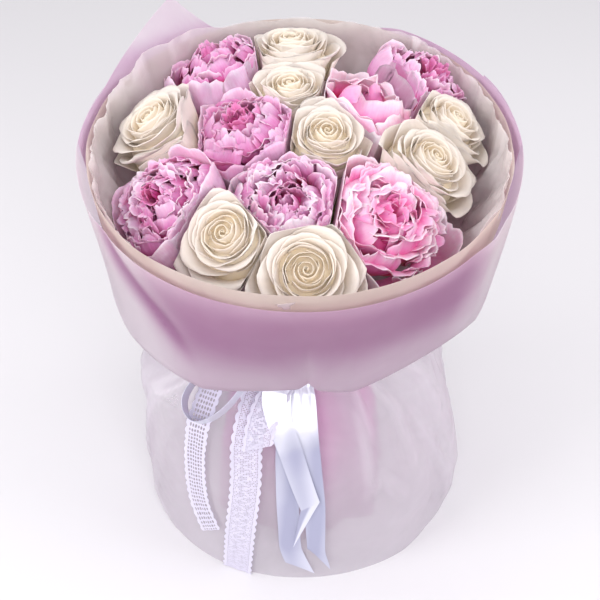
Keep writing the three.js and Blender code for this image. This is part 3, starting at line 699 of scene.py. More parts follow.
def sheet_piece(name, rows, closed, thickness, look, node, shade=None):
    """A thin sheet from rows of points. With closed, its last column joins its first. shade is a
    value from 0 to 1 for each point, that its look may use: on the collar, the paper skirt, the
    film skirt and the satin it is painted light and shade."""
    down, across = rows.shape[:2]
    index = np.arange(down * across).reshape(down, across)
    if closed:
        index = np.concatenate([index, index[:, :1]], 1)
    corner = np.stack(np.meshgrid(np.linspace(0, 1, index.shape[1]), np.linspace(0, 1, down)), -1)
    faces, flat = (np.stack([g[:-1, :-1], g[:-1, 1:], g[1:, 1:], g[1:, :-1]], 2) for g in (index, corner))
    mesh = bpy.data.meshes.new(name)
    mesh.from_pydata((rows.reshape(-1, 3) / 1000).tolist(), [], faces.reshape(-1, 4).tolist())
    if shade is not None:
        mesh.attributes.new("shade", "FLOAT", "POINT").data.foreach_set("value", shade.ravel())
    mesh.uv_layers.new(name="sheet").data.foreach_set("uv", flat.ravel())
    piece = thickened(name, mesh, thickness)
    bpy.ops.object.mode_set(mode="EDIT")
    bpy.ops.mesh.select_all(action="SELECT")
    bpy.ops.mesh.normals_make_consistent(inside=False)
    bpy.ops.object.mode_set(mode="OBJECT")
    bpy.ops.object.shade_smooth_by_angle(angle=math.radians(38))
    dress(piece, look, node)
    return piece


def bowl_rows(layer, wider, rim, count):
    """Rows of a bowl that rises from the waist, wider than the clear film's bowl."""
    azimuth = np.arange(COLUMNS) * 360 / COLUMNS
    levels = [WAIST_FOOT, neck_height(layer)] + [z for _, z in BOWL[:4]]
    heights = np.array([np.full(COLUMNS, z, float) for z in levels] + [rim(azimuth)])
    radii = bowl_radius(heights) + wider * np.minimum(1, np.arange(7)[:, None] / 3)
    radii[:2] = waist_radius(layer)
    r, z = along_keys(radii, heights, count)
    return azimuth, softened(r, 3), softened(z, 3)


def gathered(azimuth, z, depth, count):
    """Pleats that start at the waist and die out upwards and downwards."""
    a = np.radians(azimuth)
    return depth * np.cos(a * count + 0.6 * np.sin(a * 7)) * np.exp(-np.abs(z - WAIST_Z) / 34)


def film_rim(azimuth):
    """The height of the uneven rim, which stands highest at the back on the left."""
    a = np.radians(azimuth)
    return rim_height(azimuth) + 4 - 4 * np.cos(a) + 8 * bell(azimuth, 232, 34) + 2.5 * np.cos(5 * a)


def sheer(tree, cover, glow, colour):
    """Makes a film see-through apart from its cover. A share of the cover glows with the light
    that falls on its other side."""
    plain = tree.nodes["Principled BSDF"].outputs[0]
    glowing = out_of(tree, "BsdfTranslucent", {"Color": colour})
    film = out_of(tree, "MixShader", {0: glow, 1: plain, 2: glowing})
    shown = out_of(tree, "MixShader", {0: cover, 1: out_of(tree, "BsdfTransparent"), 2: film})
    feed(tree, tree.nodes["Material Output"], {"Surface": shown})


azimuth, r, z = bowl_rows(0, 0, film_rim, CLEAR_ROWS)
points = around(azimuth, r, z)
room = np.full(r.shape, 99.0)  # to the nearest bloom
for bloom in placed.values():
    from_fan = points - FAN
    up = from_fan @ bloom.axis
    out = np.linalg.norm(from_fan - up[..., None] * bloom.axis, axis=-1)
    room = np.minimum(room, out - 1.1 * up * math.tan(bloom.spread))
crumpled = np.clip(creases(points, 8, 50, 4) * 0.4 + 0.75, 0, 1) * plateau(z, 330, 400, 425, 458)
crushed = 2.6 * creases(points, 5, 34, 6) + 0.9 * creases(points, 6, 11, 6)
r = r - np.clip(0.85 * room, 0, DEEPEST_SINK) * crumpled + eased(z, 300, 400) * crushed
r = r + np.minimum(gathered(azimuth, z, 0.8, 36), 0.5)
z = z + eased(z, 420, 450) * 2.5 * creases(points, 7, 26, 4)

clear_look, tree = look_of("clear_film")
facets = {"Vector": out_of(tree, "TexCoord", output="Object"), "Scale": 70}
crinkled = bumped(tree, out_of(tree, "TexVoronoi", facets, output="Distance"), 0.5, 0.002)
surface(tree, {
    "Base Color": rgb(250, 248, 248),
    "Roughness": 0.06,
    "Specular IOR Level": 1.0,
    "Normal": crinkled,
})
glance = out_of(tree, "Fresnel", {"IOR": 1.5, "Normal": crinkled})
sheer(tree, scaled(tree, glance, 1.3, 0.3, kept=True), 0.4, rgb(250, 244, 246))
rows = around(azimuth, r, z)
sheet_piece("clear_film_bowl", rows, True, CLEAR_THICKNESS, clear_look, "clear_film")

# ---- Cream lining ----
# One sheet of cream matte film between the clear film and the collar. Its edge shows as a band
# above the front of the collar, with the shadows of what lies against it inside.
LINING_ROWS = 50
LINING_GAP = 4.5  # wider than the clear film
LINING_THICKNESS = 0.2


def colour_between(tree, share, start, end):
    inputs = {0: share, 6: rgb(*start), 7: rgb(*end)}
    return out_of(tree, "Mix", inputs, output=2, data_type="RGBA")


def film_look(name, pale, deep, cover, glow, shaded=False):
    """Thin matte film in two colours, with cloudy patches between them, or with shaded, the piece's painted
    shade and a little of the patches.
    """
    material, tree = look_of(name)
    patches = scaled(tree, noise(tree, 13, detail=3, distortion=0.6), 1.4, -0.7)
    if shaded:
        # The piece's shade, which is painted shade, sets the colour here.
        depth = scaled(tree, patches, 0.3, attribute(tree, "shade"), kept=True)
    else:
        depth = scaled(tree, patches, 1, 0.5, kept=True)
    colour = colour_between(tree, depth, pale, deep)
    surface(tree, {
        "Base Color": colour,
        "Normal": bumped(tree, noise(tree, 900), 0.12, 0.0004),
        "Roughness": 0.42,
        "Specular IOR Level": 0.35,
    })
    sheer(tree, cover, glow, colour)
    return material


def lining_rim(azimuth):
    return rim_height(azimuth) + 5 + 7 * np.maximum(0, np.cos(np.radians(azimuth)))


azimuth, r, z = bowl_rows(1, LINING_GAP, lining_rim, LINING_ROWS)
points = around(azimuth, r, z)
r = r + eased(z, 300, 380) * 0.8 * creases(points, 21, 60, 4) + np.minimum(gathered(azimuth, z, 0.5, 30), 0.3)
cream_look = film_look("cream_film", (243, 236, 231), (226, 212, 206), 0.9, 0.7)
rows = around(azimuth, r, z)
sheet_piece("cream_lining_sheet", rows, True, LINING_THICKNESS, cream_look, "cream_lining")

# ---- Collar ----
# Two sheets of matte lilac film, one round the front and one round the back. Each runs out from
# the waist to a crease and stands up from there, with soft broad flutes and a clean cut rim.
COLLAR_ROWS = 54
COLLAR_THICKNESS = 0.25
CREASE = np.array([
    # azimuth, radius, height
    (-180, 185, 330), (-120, 187, 326), (-75, 189, 317), (-60, 187, 306), (-30, 179, 295),
    (0, 180, 313), (15, 181, 311), (60, 191, 327), (90, 190, 333), (180, 185, 330),
]).T
STRAIGHT_CREASES = ((-30, 15), (15, 60))  # from azimuth to azimuth, where the crease runs straighter
CREASE_DENT = 8
CORNER_AZIMUTH, CORNER_HEIGHT = 217.5, 44


def from_front(azimuth):
    """The azimuth from -180 to 180."""
    return (azimuth + 180) % 360 - 180


def collar_rows(start, end, layer, inside, rim, rim_radius):
    """Rows of a collar sheet from its waist to its rim, and how far each point is up from the
    crease to the rim."""
    azimuth = np.linspace(start, end, int((end - start) / 360 * COLUMNS) + 1)
    a = from_front(azimuth)
    crease_r = np.interp(a, CREASE[0], CREASE[1]) - inside
    crease_z = np.interp(a, CREASE[0], CREASE[2]) + inside
    for left, right in STRAIGHT_CREASES:
        crease_r -= CREASE_DENT * np.sin(math.pi * np.clip((a - left) / (right - left), 0, 1))
    crease_z += 9 * bell(a, 2.5, 1.7) * np.clip(1 - inside, 0, 1)
    base, low, top = waist_radius(layer), neck_height(layer), rim(azimuth)
    radii, heights = [base + 0 * a, base + 0 * a], [WAIST_FOOT + 0 * a, low + 0 * a]
    for out, up in ((0.35, 0.27), (0.72, 0.66)):
        radii.append(base + (crease_r - base) * out)
        heights.append(low + (crease_z - low) * up)
    radii += [crease_r, rim_radius(azimuth)]
    heights += [crease_z, top]
    r, z = along_keys(np.array(radii), np.array(heights), COLLAR_ROWS)
    return azimuth, r, z, np.clip((z - crease_z) / (top - crease_z), 0, 1)


def flutes(azimuth, up, depth):
    """Broad soft folds of the standing part, deepest between the crease and the rim."""
    a = np.radians(azimuth)
    wave = np.cos(4 * a + 1.13) + 0.5 * np.cos(7 * a + 0.4 + 1.5 * up) + 0.35 * np.sin(11 * a - up)
    return depth * np.sin(math.pi * up) * wave


def front_rim(azimuth):
    return rim_height(azimuth) + 6 * eased(np.abs(azimuth), 80, 120)


def front_rim_radius(azimuth):
    return 203 + 7 * eased(np.abs(azimuth), 40, 110)


def back_rim(azimuth):
    """The back sheet's rim, which rises to a pointed corner on the left."""
    away = azimuth - CORNER_AZIMUTH
    corner = CORNER_HEIGHT * (1 - np.clip(np.where(away > 0, away / 32, -away / 12), 0, 1)) ** 1.3
    return rim_height(azimuth) - 4 + 12 * eased(np.abs(azimuth - 180), 12, 32) + corner


def back_rim_radius(azimuth):
    return 205 + (back_rim(azimuth) - rim_height(azimuth)) / 6


def collar_piece(name, rows, node, shade):
    sheet_piece(name, rows, False, COLLAR_THICKNESS, lilac_look, node, shade)


# The pale lilac stands for the film in light, the deep lilac for the film in painted shade.
lilac_look = film_look("lilac_film", (246, 241, 246), (206, 160, 198), 0.95, 0.66, shaded=True)
azimuth, r, z, up = collar_rows(-120, 120, 3, 0, front_rim, front_rim_radius)
points = around(azimuth, r, z)
# The valley is a fold that is dented in and also painted with shade.
valley = bell(up + (azimuth + 58) * 0.02, 0.9, 0.13) * plateau(azimuth, -64, -56, -40, -28)
ridge = np.clip(1 - np.abs(azimuth - 55) / 7, 0, 1) * eased(up, 0, 0.2)
r = r + flutes(azimuth, up, 1.8) + 0.7 * up * creases(points, 41, 90, 3) - 3 * valley + 3 * ridge
r = r + np.maximum(gathered(azimuth, z, 0.5, 34), -0.3)
# Painted shade: the collar is darker in the valley fold, across a broad band through the middle from the
# crease up, and towards the right; it stays pale at the left, where the light falls.
strength = (0.25 + 0.75 * eased(up, 0.12, 0.6)) * (1 - 0.3 * eased(up, 0.8, 1))
deep = plateau(azimuth, -52, -26, 44, 60) * strength
shade = np.clip(0.04 + 0.82 * deep + 0.8 * valley + 0.25 * eased(azimuth, 60, 90), 0, 1)
collar_piece("collar_front", around(azimuth, r, z), "collar_front_sheet", shade)

azimuth, r, z, up = collar_rows(90, 270, 2, 3.2, back_rim, back_rim_radius)
r = r + flutes(azimuth, up, 1.2) + np.maximum(gathered(azimuth, z, 0.3, 34), -0.2)
# Painted light: the back sheet is paler towards its high corner, where light shines through it.
shade = 0.45 - 0.35 * eased(z, 480, 500)
collar_piece("collar_back", around(azimuth, r, z), "collar_back_sheet", shade)

# ---- Paper skirt ----
# A skirt of lilac-pink paper round the stems, gathered at the waist. Its colour shows through the
# frosted film in front of it.
PAPER = np.array([(27.9, 243), (27.9, 222), (52, 192), (84, 110), (95, 0)])  # radius, height
PAPER_ROWS = 48
PAPER_THICKNESS = 0.25
azimuth = np.arange(COLUMNS) * 360 / COLUMNS
r, z = along_keys(*(np.repeat(keys[:, None], COLUMNS, 1) for keys in PAPER.T), PAPER_ROWS)
r, z = softened(r, 3), softened(z, 3)
a = np.radians(azimuth)
r = r * (1 + eased(235 - z, 20, 120) * (0.07 * np.cos(6 * a + 0.35) + 0.04 * np.cos(13 * a + 1 + z / 90)))
r = r + gathered(azimuth, z, 0.3, 24)
# The shade is painted shade in the hollows of the paper's folds; it also makes the paper deeper pink towards
# the waist.
shade = eased(z, 20, 150) * (0.62 + 0.38 * np.cos(6 * a - 2.3))
paper_look = film_look("pink_paper", (216, 186, 210), (240, 100, 208), 1.0, 0.35, shaded=True)
rows = around(azimuth, r, z)
sheet_piece("paper_skirt_sheet", rows, True, PAPER_THICKNESS, paper_look, "paper_skirt", shade)

# ---- Film skirt ----
# A wide skirt of frosted film, gathered under the ribbons and standing on the table. It puffs out
# at the sides in big crushed folds, with sharp creases that run down from the waist.
FILM_SKIRT = np.array([
    # radius and height at the front, right, back and left, from the waist down
    [[29.1, 226], [29.1, 226], [29.1, 226], [29.1, 226]],
    [[66, 198], [96, 238], [95, 234], [100, 224]],
    [[99, 150], [140, 217], [142, 211], [164, 187]],
    [[124, 92], [161, 150], [168, 132], [171, 122]],
    [[141, 40], [178, 70], [174, 60], [174, 58]],
    [[152, 0], [171, 0], [168, 0], [167, 0]],
])
SKIRT_STEPS = len(FILM_SKIRT) - 1
SKIRT_BOW = 0.3  # how round its profile is between two of these
SKIRT_FOLDS = [
    # every 15 degrees from the front
    0, 0, 0, 3, -4, 6, -5, 4, -5, 7, -5, 4, -6, 5, -4, 7, -6, 4, -5, 4, 0, 0, 0, 0,
]
FOLD_SHARES = [0, 0.6, 1, 1, 0.7, 0.4]  # from the waist down
SKIRT_THICKNESS = 0.15
SHARP_CREASES = [
    # from azimuth and down, to azimuth and down, height
    (-86, 4.3, -67, 1.4, 4.0), (-67, 1.4, -58, 0.8, 3.0), (-86, 4.3, -60, 4.9, 2.5),
    (50, 1.3, 54, 3.1, 4.0), (59, 2.4, 76, 4.8, 4.0), (66, 1.2, 74, 3.6, 3.5),
    (32, 3.15, 38, 2.95, 2.5), (38, 2.95, 46, 3.5, 2.5), (35, 1.7, 33, 3.1, 3.0),
    (40, 1.0, 36, 2.2, 3.0), (108, 1.2, 104, 3.9, 4.0), (131, 2.0, 139, 4.4, 3.5),
    (152, 1.1, 160, 3.2, 4.0), (183, 1.6, 174, 4.0, 3.5), (207, 1.2, 214, 3.5, 4.0),
    (236, 1.8, 229, 4.3, 3.5), (251, 1.1, 247, 2.9, 3.5),
]
SHARP_WIDTH = 9  # of such a crease to each side
DEGREE, STEP = 2.6, 42  # rough length of a degree round the skirt, and of a step down it
NECK_RISE = 43  # of the skirt's neck for each step above the waist


def skirt_key(step, side, share):
    """(radius, height) at whole steps down, between a side and the next one round."""
    step = np.clip(step, 0, SKIRT_STEPS)
    start, end = FILM_SKIRT[step, side], FILM_SKIRT[step, (side + 1) % 4]
    return start + (end - start) * share


def skirt_at(azimuth, down):
    """Points of the film skirt. down is 0 where it leaves the waist and 5 at its foot."""
    azimuth, down = np.broadcast_arrays(np.asarray(azimuth, float), np.asarray(down, float))
    quarter = (azimuth % 360) / 90
    side = np.floor(quarter).astype(int) % 4
    share = eased(quarter - np.floor(quarter), 0, 1)[..., None]
    step = np.clip(np.floor(down).astype(int), 0, SKIRT_STEPS - 1)
    u = (down - step)[..., None]
    p0, p1, p2, p3 = (skirt_key(step + k, side, share) for k in (-1, 0, 1, 2))
    bow = (1 - u) * (p2 - p0) / 2 - u * (p3 - p1) / 2 - (1 - 2 * u) * (p2 - p1)
    curve = p1 + u * (p2 - p1) + SKIRT_BOW * u * (1 - u) * bow
    swung = (azimuth + 2.5 * np.sin(down * 1.3)) % 360
    fold = np.interp(swung, np.arange(25) * 15, SKIRT_FOLDS + SKIRT_FOLDS[:1])
    radius = curve[..., 0] + fold * np.interp(down, range(SKIRT_STEPS + 1), FOLD_SHARES)
    return around(azimuth, radius, np.maximum(curve[..., 1], 0))


def sharp_ridges(azimuth, down):
    """How high the sharp creases stand out of the skirt."""
    ridges = np.zeros(np.broadcast_shapes(azimuth.shape, down.shape))
    for a0, d0, a1, d1, height in SHARP_CREASES:
        x, y = from_front(azimuth - a0) * DEGREE, (down - d0) * STEP
        run_x, run_y = (a1 - a0) * DEGREE, (d1 - d0) * STEP
        share = np.clip((x * run_x + y * run_y) / (run_x**2 + run_y**2), 0, 1)
        away = np.hypot(x - share * run_x, y - share * run_y)
        tapered = height * np.sin(math.pi * (0.1 + 0.8 * share)) ** 0.5
        ridges = np.maximum(ridges, tapered * np.clip(1 - away / SHARP_WIDTH, 0, 1))
    return ridges


down = np.concatenate([[-0.35, -0.18], np.linspace(0, SKIRT_STEPS, 70)])[:, None]
azimuth = np.arange(360)[None, :].astype(float)
turn = from_front(azimuth)
points = skirt_at(azimuth, np.maximum(down, 0))
points[..., 2] += np.maximum(-down, 0) * NECK_RISE
ridges = sharp_ridges(azimuth, down)
broad = creases(points, 61, 64, 4)
pleats = np.abs((azimuth / 11 + 0.25 * np.sin(azimuth / 9)) % 1 - 0.5) * 4 - 1
crush = 2.4 * broad + 0.8 * creases(points, 62, 26, 4) + 1.5 * pleats * plateau(down, 0.1, 0.6, 1.4, 2.8)
crush = crush + 9 * bell(azimuth, 270, 14) * bell(down, 1.9, 0.8)
wild = 0.2 + 0.8 * eased(np.abs(turn), 40, 75)
belly = np.sin(math.pi * np.clip(down / SKIRT_STEPS, 0, 1)) ** 0.8
folded_back = np.clip(1 - (turn + 67 + 6.6 * (down - 1.4)) / 2.5, 0, 1)
# A facet on the left is painted milkier: a painted highlight where light catches it.
painted_facet_highlight = eased(turn, -104, -96) * folded_back * (1 - eased(down, 4.2, 4.5))
# Painted highlights: the film is milkier on that facet, along the sharp creases and on some facets of the
# broad crushing, where light catches it.
shade = 0.36 + 0.2 * broad * wild + 0.7 * painted_facet_highlight + 0.11 * ridges * eased(np.abs(turn), 20, 32)
shade = np.clip(shade, 0, 1)
neck_pleats = 0.5 * np.cos(np.radians(azimuth) * 30) * np.exp(-np.maximum(down, 0) * 2.2)
radius = np.hypot(points[..., 0], points[..., 1])
points[..., :2] *= (1 + (crush * wild * belly + ridges + neck_pleats) / radius)[..., None]

frost_look, tree = look_of("frosted_film")
surface(tree, {
    "Base Color": rgb(238, 235, 240),
    "Roughness": 0.34,
    "Specular IOR Level": 0.5,
    "Coat Weight": 0.7,
    "Coat Roughness": 0.07,
    "Coat Normal": bumped(tree, noise(tree, 26, distortion=1.5), 0.3, 0.004),
})
facing = out_of(tree, "LayerWeight", {"Blend": 0.35}, output="Facing")
milk = scaled(tree, noise(tree, 9, detail=3, distortion=1.2), 0.2, scaled(tree, facing, 0.35, 0.26))
# The shade adds cover: the painted highlights on the facet and the creases.
painted_highlight_cover = scaled(tree, attribute(tree, "shade"), 0.6, -0.24)
sheer(tree, scaled(tree, milk, 1, painted_highlight_cover, kept=True), 0.5, rgb(238, 234, 240))
sheet_piece(
    "film_skirt_sheet", points, True, SKIRT_THICKNESS, frost_look, "film_skirt", shade
)

# ---- Satin ribbon ----
# Pale double-faced satin, 24 to 26 mm wide: a band round the waist, a bow's knot and loop, and three
# tails that hang down the front of the skirt, cut slantwise or folded back at their ends. It is
# painted light where it lies back and painted shade where it hangs straight, with painted sheen bands.
SATIN_IN_SHADE, SATIN_IN_LIGHT = (166, 167, 194), (222, 222, 238)
SATIN_THICKNESS = 0.3
RIBBON_ROWS = 90
RIBBON_COLUMNS = 13
SATIN_TAILS = {
    # width, lift, narrowing at the end, slant of the cut, way as (down, azimuth)
    "satin_tail_1": (26, 6.2, 0.15, -2, [
        (0.28, -6), (0.6, -14), (1, -22), (1.5, -15), (2, -6), (2.5, 0), (3, 5),
    ]),
    "satin_tail_2": (26, 4.2, 0.4, 36, [
        (0.2, 4), (0.6, 4), (1, 3), (1.5, 4), (2, 5), (2.5, 6), (3, 7), (3.5, 7), (4, 7), (4.3, 8),
    ]),
    "satin_tail_3": (24, 2.5, 0.05, 26, [
        (0.16, -4), (0.6, -5), (1, -8), (1.5, -8), (2, -8), (2.5, -7), (3, -6), (3.5, -5), (4, -4), (4.6, 0),
    ]),
}
FOLDED_TAIL = "satin_tail_1"
FLAP_LENGTH = 32
FLAP_TIP = (-3, 3.95)  # azimuth, down
FLAP_ROWS = 21
LOOP = [
    # down, azimuth, lift
    (0.12, -34, 8), (0.8, -38, 6.6), (1.55, -42, 6), (1.95, -50, 6), (1.7, -60, 6), (1.1, -62, 6.6),
    (0.4, -50, 8),
]
LOOP_WIDTH = 20
LOOP_ROWS, LOOP_COLUMNS = 80, 9
LOOP_RISE = np.array([-0.25, -0.55, 0.8])  # the way from the loop's lower edge to its upper one
BAND_WIDTH = 13  # as gathered
BAND_ROWS, BAND_COLUMNS = 14, 144
KNOT = np.array([-5, -38, 233.2])
KNOT_REACH = np.array([15.5, 7, 8.6])
BAND_SHADE = KNOT_SHADE = 0.7


def smooth_way(keys, count):
    """Many points along a smooth curve through the keys."""
    keys = np.array(keys, float)
    at = np.linspace(0, len(keys) - 1, count)
    k = np.clip(np.floor(at).astype(int), 0, len(keys) - 2)
    u = (at - k)[:, None]
    p0, p1, p2, p3 = (keys[np.clip(k + j, 0, len(keys) - 1)] for j in (-1, 0, 1, 2))
    bend, twist = 2 * p0 - 5 * p1 + 4 * p2 - p3, 3 * p1 - p0 - 3 * p2 + p3
    return 0.5 * (2 * p1 + (p2 - p0) * u + bend * u**2 + twist * u**3)


def strip_frame(way, lift, count):
    """Middle line, way out and way across of a ribbon laid along (down, azimuth) keys."""
    down, azimuth = smooth_way(way, count).T
    side = skirt_at(azimuth + 3, down) - skirt_at(azimuth - 3, down)
    fall = skirt_at(azimuth, down + 0.15) - skirt_at(azimuth, np.maximum(down - 0.15, 0))
    out = softened(unit(np.cross(fall, side)), 6)
    belly = 4.5 * bell(down, 1.7, 0.45)
    middle = softened(skirt_at(azimuth, down) + out * (lift + belly[:, None]), 2)
    tangent = unit(np.gradient(middle, axis=0))
    across = unit(np.cross(out, tangent))
    return middle, np.cross(tangent, across), across


def length_of(middle):
    return float(np.linalg.norm(np.diff(middle, axis=0), axis=1).sum())


def satin_piece(name, rows, closed, shade):
    return sheet_piece(name + "_ribbon", rows, closed, SATIN_THICKNESS, satin_look, name, shade)


def loop_line(keys, rise, count):
    """The middle line of a loop that stands off the skirt, from (down, azimuth, lift) keys."""
    down, azimuth, lift = smooth_way(keys, count).T
    return skirt_at(azimuth, down) + unit(rise) * lift[:, None]


satin_look, tree = look_of("satin")
weave = {"Vector": out_of(tree, "UVMap", uv_map="sheet"), "Scale": 40, "Distortion": 0.4}
threads = out_of(tree, "TexWave", weave, output="Fac", bands_direction="X")
# The colour runs from the satin in painted shade to the satin in painted light by each point's shade.
surface(tree, {
    "Base Color": colour_between(tree, attribute(tree, "shade"), SATIN_IN_SHADE, SATIN_IN_LIGHT),
    "Normal": bumped(tree, threads, 0.08, 0.0003),
    "Metallic": 0.25,
    "Roughness": 0.24,
    "Specular IOR Level": 0.8,
    "Sheen Weight": 0.4,
    "Anisotropic": 0.5,
})
for name, (width, lift, narrowing, slant, way) in SATIN_TAILS.items():
    middle, out, across = strip_frame(way, lift, RIBBON_ROWS)
    tangent = unit(np.gradient(middle, axis=0))
    v = np.linspace(0, 1, RIBBON_ROWS)[:, None]
    side = np.linspace(-1, 1, RIBBON_COLUMNS)
    gather = (0.4 + 0.6 * eased(v, 0.0, 0.28)) * (1 - narrowing * v**3)
    arch = 0.5 * side**2 + np.cos(side * 9) * 1.4 * (1 - eased(v, 0.05, 0.35))
    rows = middle[:, None] + across[:, None] * (side * width / 2 * gather)[..., None]
    rows = rows + out[:, None] * arch[..., None] + tangent[:, None] * (v**8 * slant * side / 2)[..., None]
    # Painted light and shade: lighter where the tail lies back, greyer where it hangs straight, with painted
    # sheen bands across and along it.
    painted_light_lying_back = eased(-tangent[:, 2:], 0.97, 0.78)
    shade = np.clip(painted_light_lying_back + 0.25 * np.sin(side * 2.2 + 6 * v) + 0.1, 0, 1)
    length = length_of(middle)
    if name == FOLDED_TAIL:
        # Its end is folded back under itself and shows as a small pointed flap.
        fold = np.linspace(0, 1, FLAP_ROWS + 1)[1:, None, None]
        tip = skirt_at(*FLAP_TIP) + out[-1] * (lift + 1)
        flap = rows[-1] * (1 - fold) + tip * fold - out[-1] * 0.8 * np.minimum(fold * 6, 1)
        # Painted light and shade on the flap: dark on one side, lighter towards its tip.
        flap_painted_light = np.clip(side * 3 + 0.3 + fold[..., 0] * 1.5, 0, 1)
        rows, shade = np.concatenate([rows, flap]), np.concatenate([shade, flap_painted_light])
        length += FLAP_LENGTH
    piece = satin_piece(name, rows, False, shade)

loop_middle = loop_line(LOOP, LOOP_RISE, LOOP_ROWS)
stand = 0.5 + 0.5 * np.sin(np.linspace(0, math.pi, LOOP_ROWS))[:, None]
rise = np.linspace(0, LOOP_WIDTH, LOOP_COLUMNS) * stand
rows = loop_middle[:, None] + unit(LOOP_RISE) * rise[..., None]
# Painted sheen bands: the loop is lit and shaded in turn along its length.
shade = 0.75 + 0.25 * np.sin(np.linspace(0, 9, LOOP_ROWS))[:, None] + 0 * rise
loop = satin_piece("satin_loop", rows, False, shade)
loop_flat = (LOOP_WIDTH / 1000, round(length_of(loop_middle) / 1000, 3))

azimuth = np.arange(BAND_COLUMNS) * 360 / BAND_COLUMNS
share = np.linspace(-0.5, 0.5, BAND_ROWS)[:, None]
ridge = 0.5 * np.cos(share * 19 + 0.7 * np.sin(np.radians(azimuth) * 5))
rows = around(azimuth, waist_radius(6) + ridge, WAIST_Z - 1.5 + share * BAND_WIDTH)
band = satin_piece("satin_band", rows, True, BAND_SHADE + 0 * ridge)

bpy.ops.object.select_all(action="DESELECT")
bpy.ops.mesh.primitive_uv_sphere_add(segments=64, ring_count=32, radius=1)
knot = bpy.context.object
knot.name = "satin_knot_ribbon"
for vertex in knot.data.vertices:
    x, y, z = vertex.co
    puff = 1 + 0.05 * math.cos(7 * math.atan2(z, y) + 3 * x) * (1 - abs(x)) - 0.16 * bell(x, 0, 0.22)
    vertex.co = (KNOT + KNOT_REACH * np.array([x, y * puff, z * puff])) / 1000
knot.data.uv_layers[0].name = "sheet"
knot_shades = [KNOT_SHADE] * len(knot.data.vertices)
knot.data.attributes.new("shade", "FLOAT", "POINT").data.foreach_set("value", knot_shades)
bpy.ops.object.shade_smooth()
dress(knot, satin_look, "satin_knot")

# ---- Lace ribbon ----
# Narrow cotton lace with scalloped edges, caught in the satin knot: two tails and a small loop.
# Its ground is a net of eyelets, closed up where the sprig pattern and the borders run.
SCALLOP = 9.0  # length of one scallop of the edge
SCALLOP_DEPTH = 2.2
LACE_THICKNESS = 0.35
LACE_ROWS = 120
FLAP_LIFT = 2.6  # of the flap off the tail under it
LACE_TAILS = {
    # width, lift, pitch, holes, ways as (down, azimuth): the tail, and a flap folded over its top
    "lace_tail_1": (24, 3.8, (3.0, 5.0), 0.8, [
        [(0.1, -34), (0.5, -56), (1, -60), (1.5, -54), (2, -50), (2.5, -49), (3, -47), (3.5, -44), (4, -38)],
    ]),
    "lace_tail_2": (32, 2.6, (1.6, 1.6), 0.7, [
        [(0.12, -24), (0.6, -30), (1, -32), (1.5, -31), (2, -29), (2.5, -27), (3, -26), (3.5, -26), (4, -26),
         (4.5, -26), (5, -26)],
        [(0.3, -16), (0.9, -21), (1.5, -25), (2, -24)],
    ]),
}
LACE_LOOP = [
    # down, azimuth, lift
    (0.5, -45, 6.4), (0.95, -46, 5.6), (1.25, -49, 5.5), (0.95, -55, 5.6), (0.6, -50, 6.4),
]
LACE_LOOP_WIDTH = 18
LACE_RISE = np.array([-0.2, -0.5, 0.85])  # the way from its lower edge to its upper one
LACE_LOOP_ROWS = 60
lace_look, tree = look_of("lace")
surface(tree, {
    "Base Color": rgb(212, 207, 226),
    "Normal": bumped(tree, noise(tree, 1500), 0.4, 0.0003),
    "Roughness": 0.8,
    "Sheen Weight": 0.3,
})


def eyelet_size(u, v, patterned, holes):
    """The open share of the eyelet at u across and v scallops along, or 0 where it is closed.
    patterned is whether the net is fine enough to show the sprigs."""
    sprig = math.cos(2 * math.pi * v) * 0.35 + 0.1 * math.cos(6 * math.pi * v)
    trail = abs(abs(u) - 0.55 - 0.1 * math.cos(4 * math.pi * v)) < 0.06
    border = abs(abs(u) - 0.86) < 0.09
    return 0 if border or (patterned and (abs(u - sprig) < 0.16 or trail)) else holes


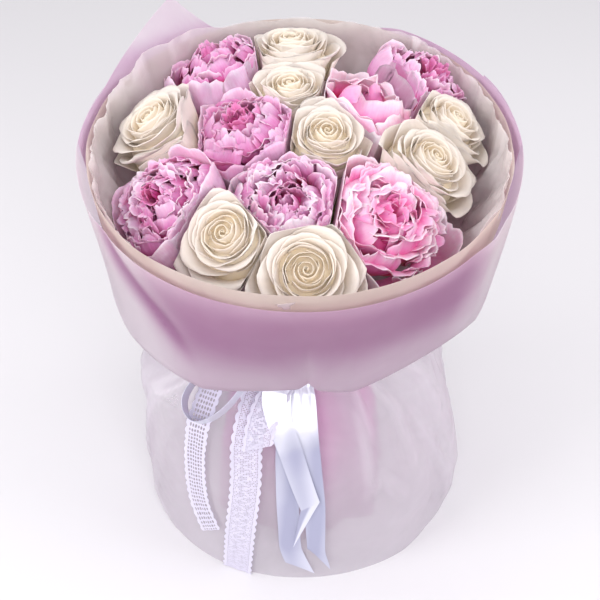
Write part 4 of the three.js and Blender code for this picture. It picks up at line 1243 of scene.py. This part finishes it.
def lace_net(surface, width, length, pitch, holes):
    """Points and faces of a strip of lace. surface(u, v) gives points for u across (-1 to 1) and v
    along (0 to 1), pitch is the size of an eyelet across and along, and holes its open share."""
    across, along = round(width / pitch[0]), round(length / pitch[1])
    edges = [(-1, -1), (0, -1), (1, -1), (1, 0), (1, 1), (0, 1), (-1, 1), (-1, 0)]
    points, faces, known = [], [], {}

    def add(x, y):
        """Adds the point at half steps x across and y along."""
        points.append((x / across - 1, y / (2 * along)))
        return len(points) - 1

    def corner(x, y):
        """The vertex there, shared by the eyelets round it."""
        if (x, y) not in known:
            known[(x, y)] = add(x, y)
        return known[(x, y)]

    for j in range(along):
        for i in range(across):
            u, v = (i + 0.5) / across * 2 - 1, (j + 0.5) * pitch[1] / SCALLOP
            size = eyelet_size(u, v, across > 8, holes if (i + j) % 2 else holes * 0.85)
            ring = [corner(2 * i + 1 + dx, 2 * j + 1 + dy) for dx, dy in edges]
            if size == 0:
                faces.append(ring)
                continue
            hole = []
            for dx, dy in edges:
                reach = size / math.hypot(dx, dy)
                hole.append(add(2 * i + 1 + dx * reach, 2 * j + 1 + dy * reach))
            for k in range(8):
                after = (k + 1) % 8
                faces.append([ring[k], ring[after], hole[after], hole[k]])
    u, v = np.array(points).T
    scallop = 1 + SCALLOP_DEPTH / width * (2 * np.abs(np.sin(math.pi * v * length / SCALLOP)) - 1)
    edge = eased(np.abs(u), 0.6, 1)
    return surface(u * (1 - edge) + u * scallop * edge, v), faces


def lace_piece(name, nets, length):
    """One piece of lace from its nets."""
    points, faces = [], []
    for net_points, net_faces in nets:
        first = sum(len(p) for p in points)
        points.append(net_points)
        faces += [[k + first for k in face] for face in net_faces]
    mesh = bpy.data.meshes.new(name + "_ribbon")
    mesh.from_pydata((np.concatenate(points) / 1000).tolist(), [], faces)
    piece = thickened(name + "_ribbon", mesh, LACE_THICKNESS)
    bpy.ops.object.shade_smooth_by_angle(angle=math.radians(40))
    dress(piece, lace_look, name)


def sampled(line, share):
    """Points at shares of the way along a line."""
    at = share * (len(line) - 1)
    return np.stack([np.interp(at, np.arange(len(line)), line[:, k]) for k in range(3)], 1)


def hung_lace(way, lift, slant, width):
    """The surface of a hanging strip of lace, and its length."""
    middle, out, across = strip_frame(way, lift, LACE_ROWS)

    def hung(u, v):
        gather = 0.4 + 0.6 * eased(v, 0.0, 0.2)
        ripple = 0.6 * np.sin(u * 7 + v * 20) * (1 - 0.5 * v)
        points = sampled(middle, v) + sampled(across, v) * (u * width / 2 * gather)[:, None]
        return points + sampled(out, v) * ripple[:, None] + np.outer(slant * u * v**4, [0, 0, 1])

    return hung, length_of(middle)


for name, (width, lift, pitch, holes, ways) in LACE_TAILS.items():
    nets, total = [], 0
    for layer, way in enumerate(ways):
        hung, length = hung_lace(way, lift + FLAP_LIFT * layer, 8 * layer, width)
        nets.append(lace_net(hung, width, length, pitch, holes))
        total += length
    lace_piece(name, nets, total)

lace_middle = loop_line(LACE_LOOP, LACE_RISE, LACE_LOOP_ROWS)
lace_length = length_of(lace_middle)


def looped(u, v):
    stand = (u + 1) / 2 * LACE_LOOP_WIDTH * (0.5 + 0.5 * np.sin(math.pi * v))
    return sampled(lace_middle, v) + LACE_RISE * stand[:, None]


loop_net = lace_net(looped, LACE_LOOP_WIDTH, lace_length, (1.5, 1.5), 0.7)
lace_piece("lace_loop", [loop_net], lace_length)
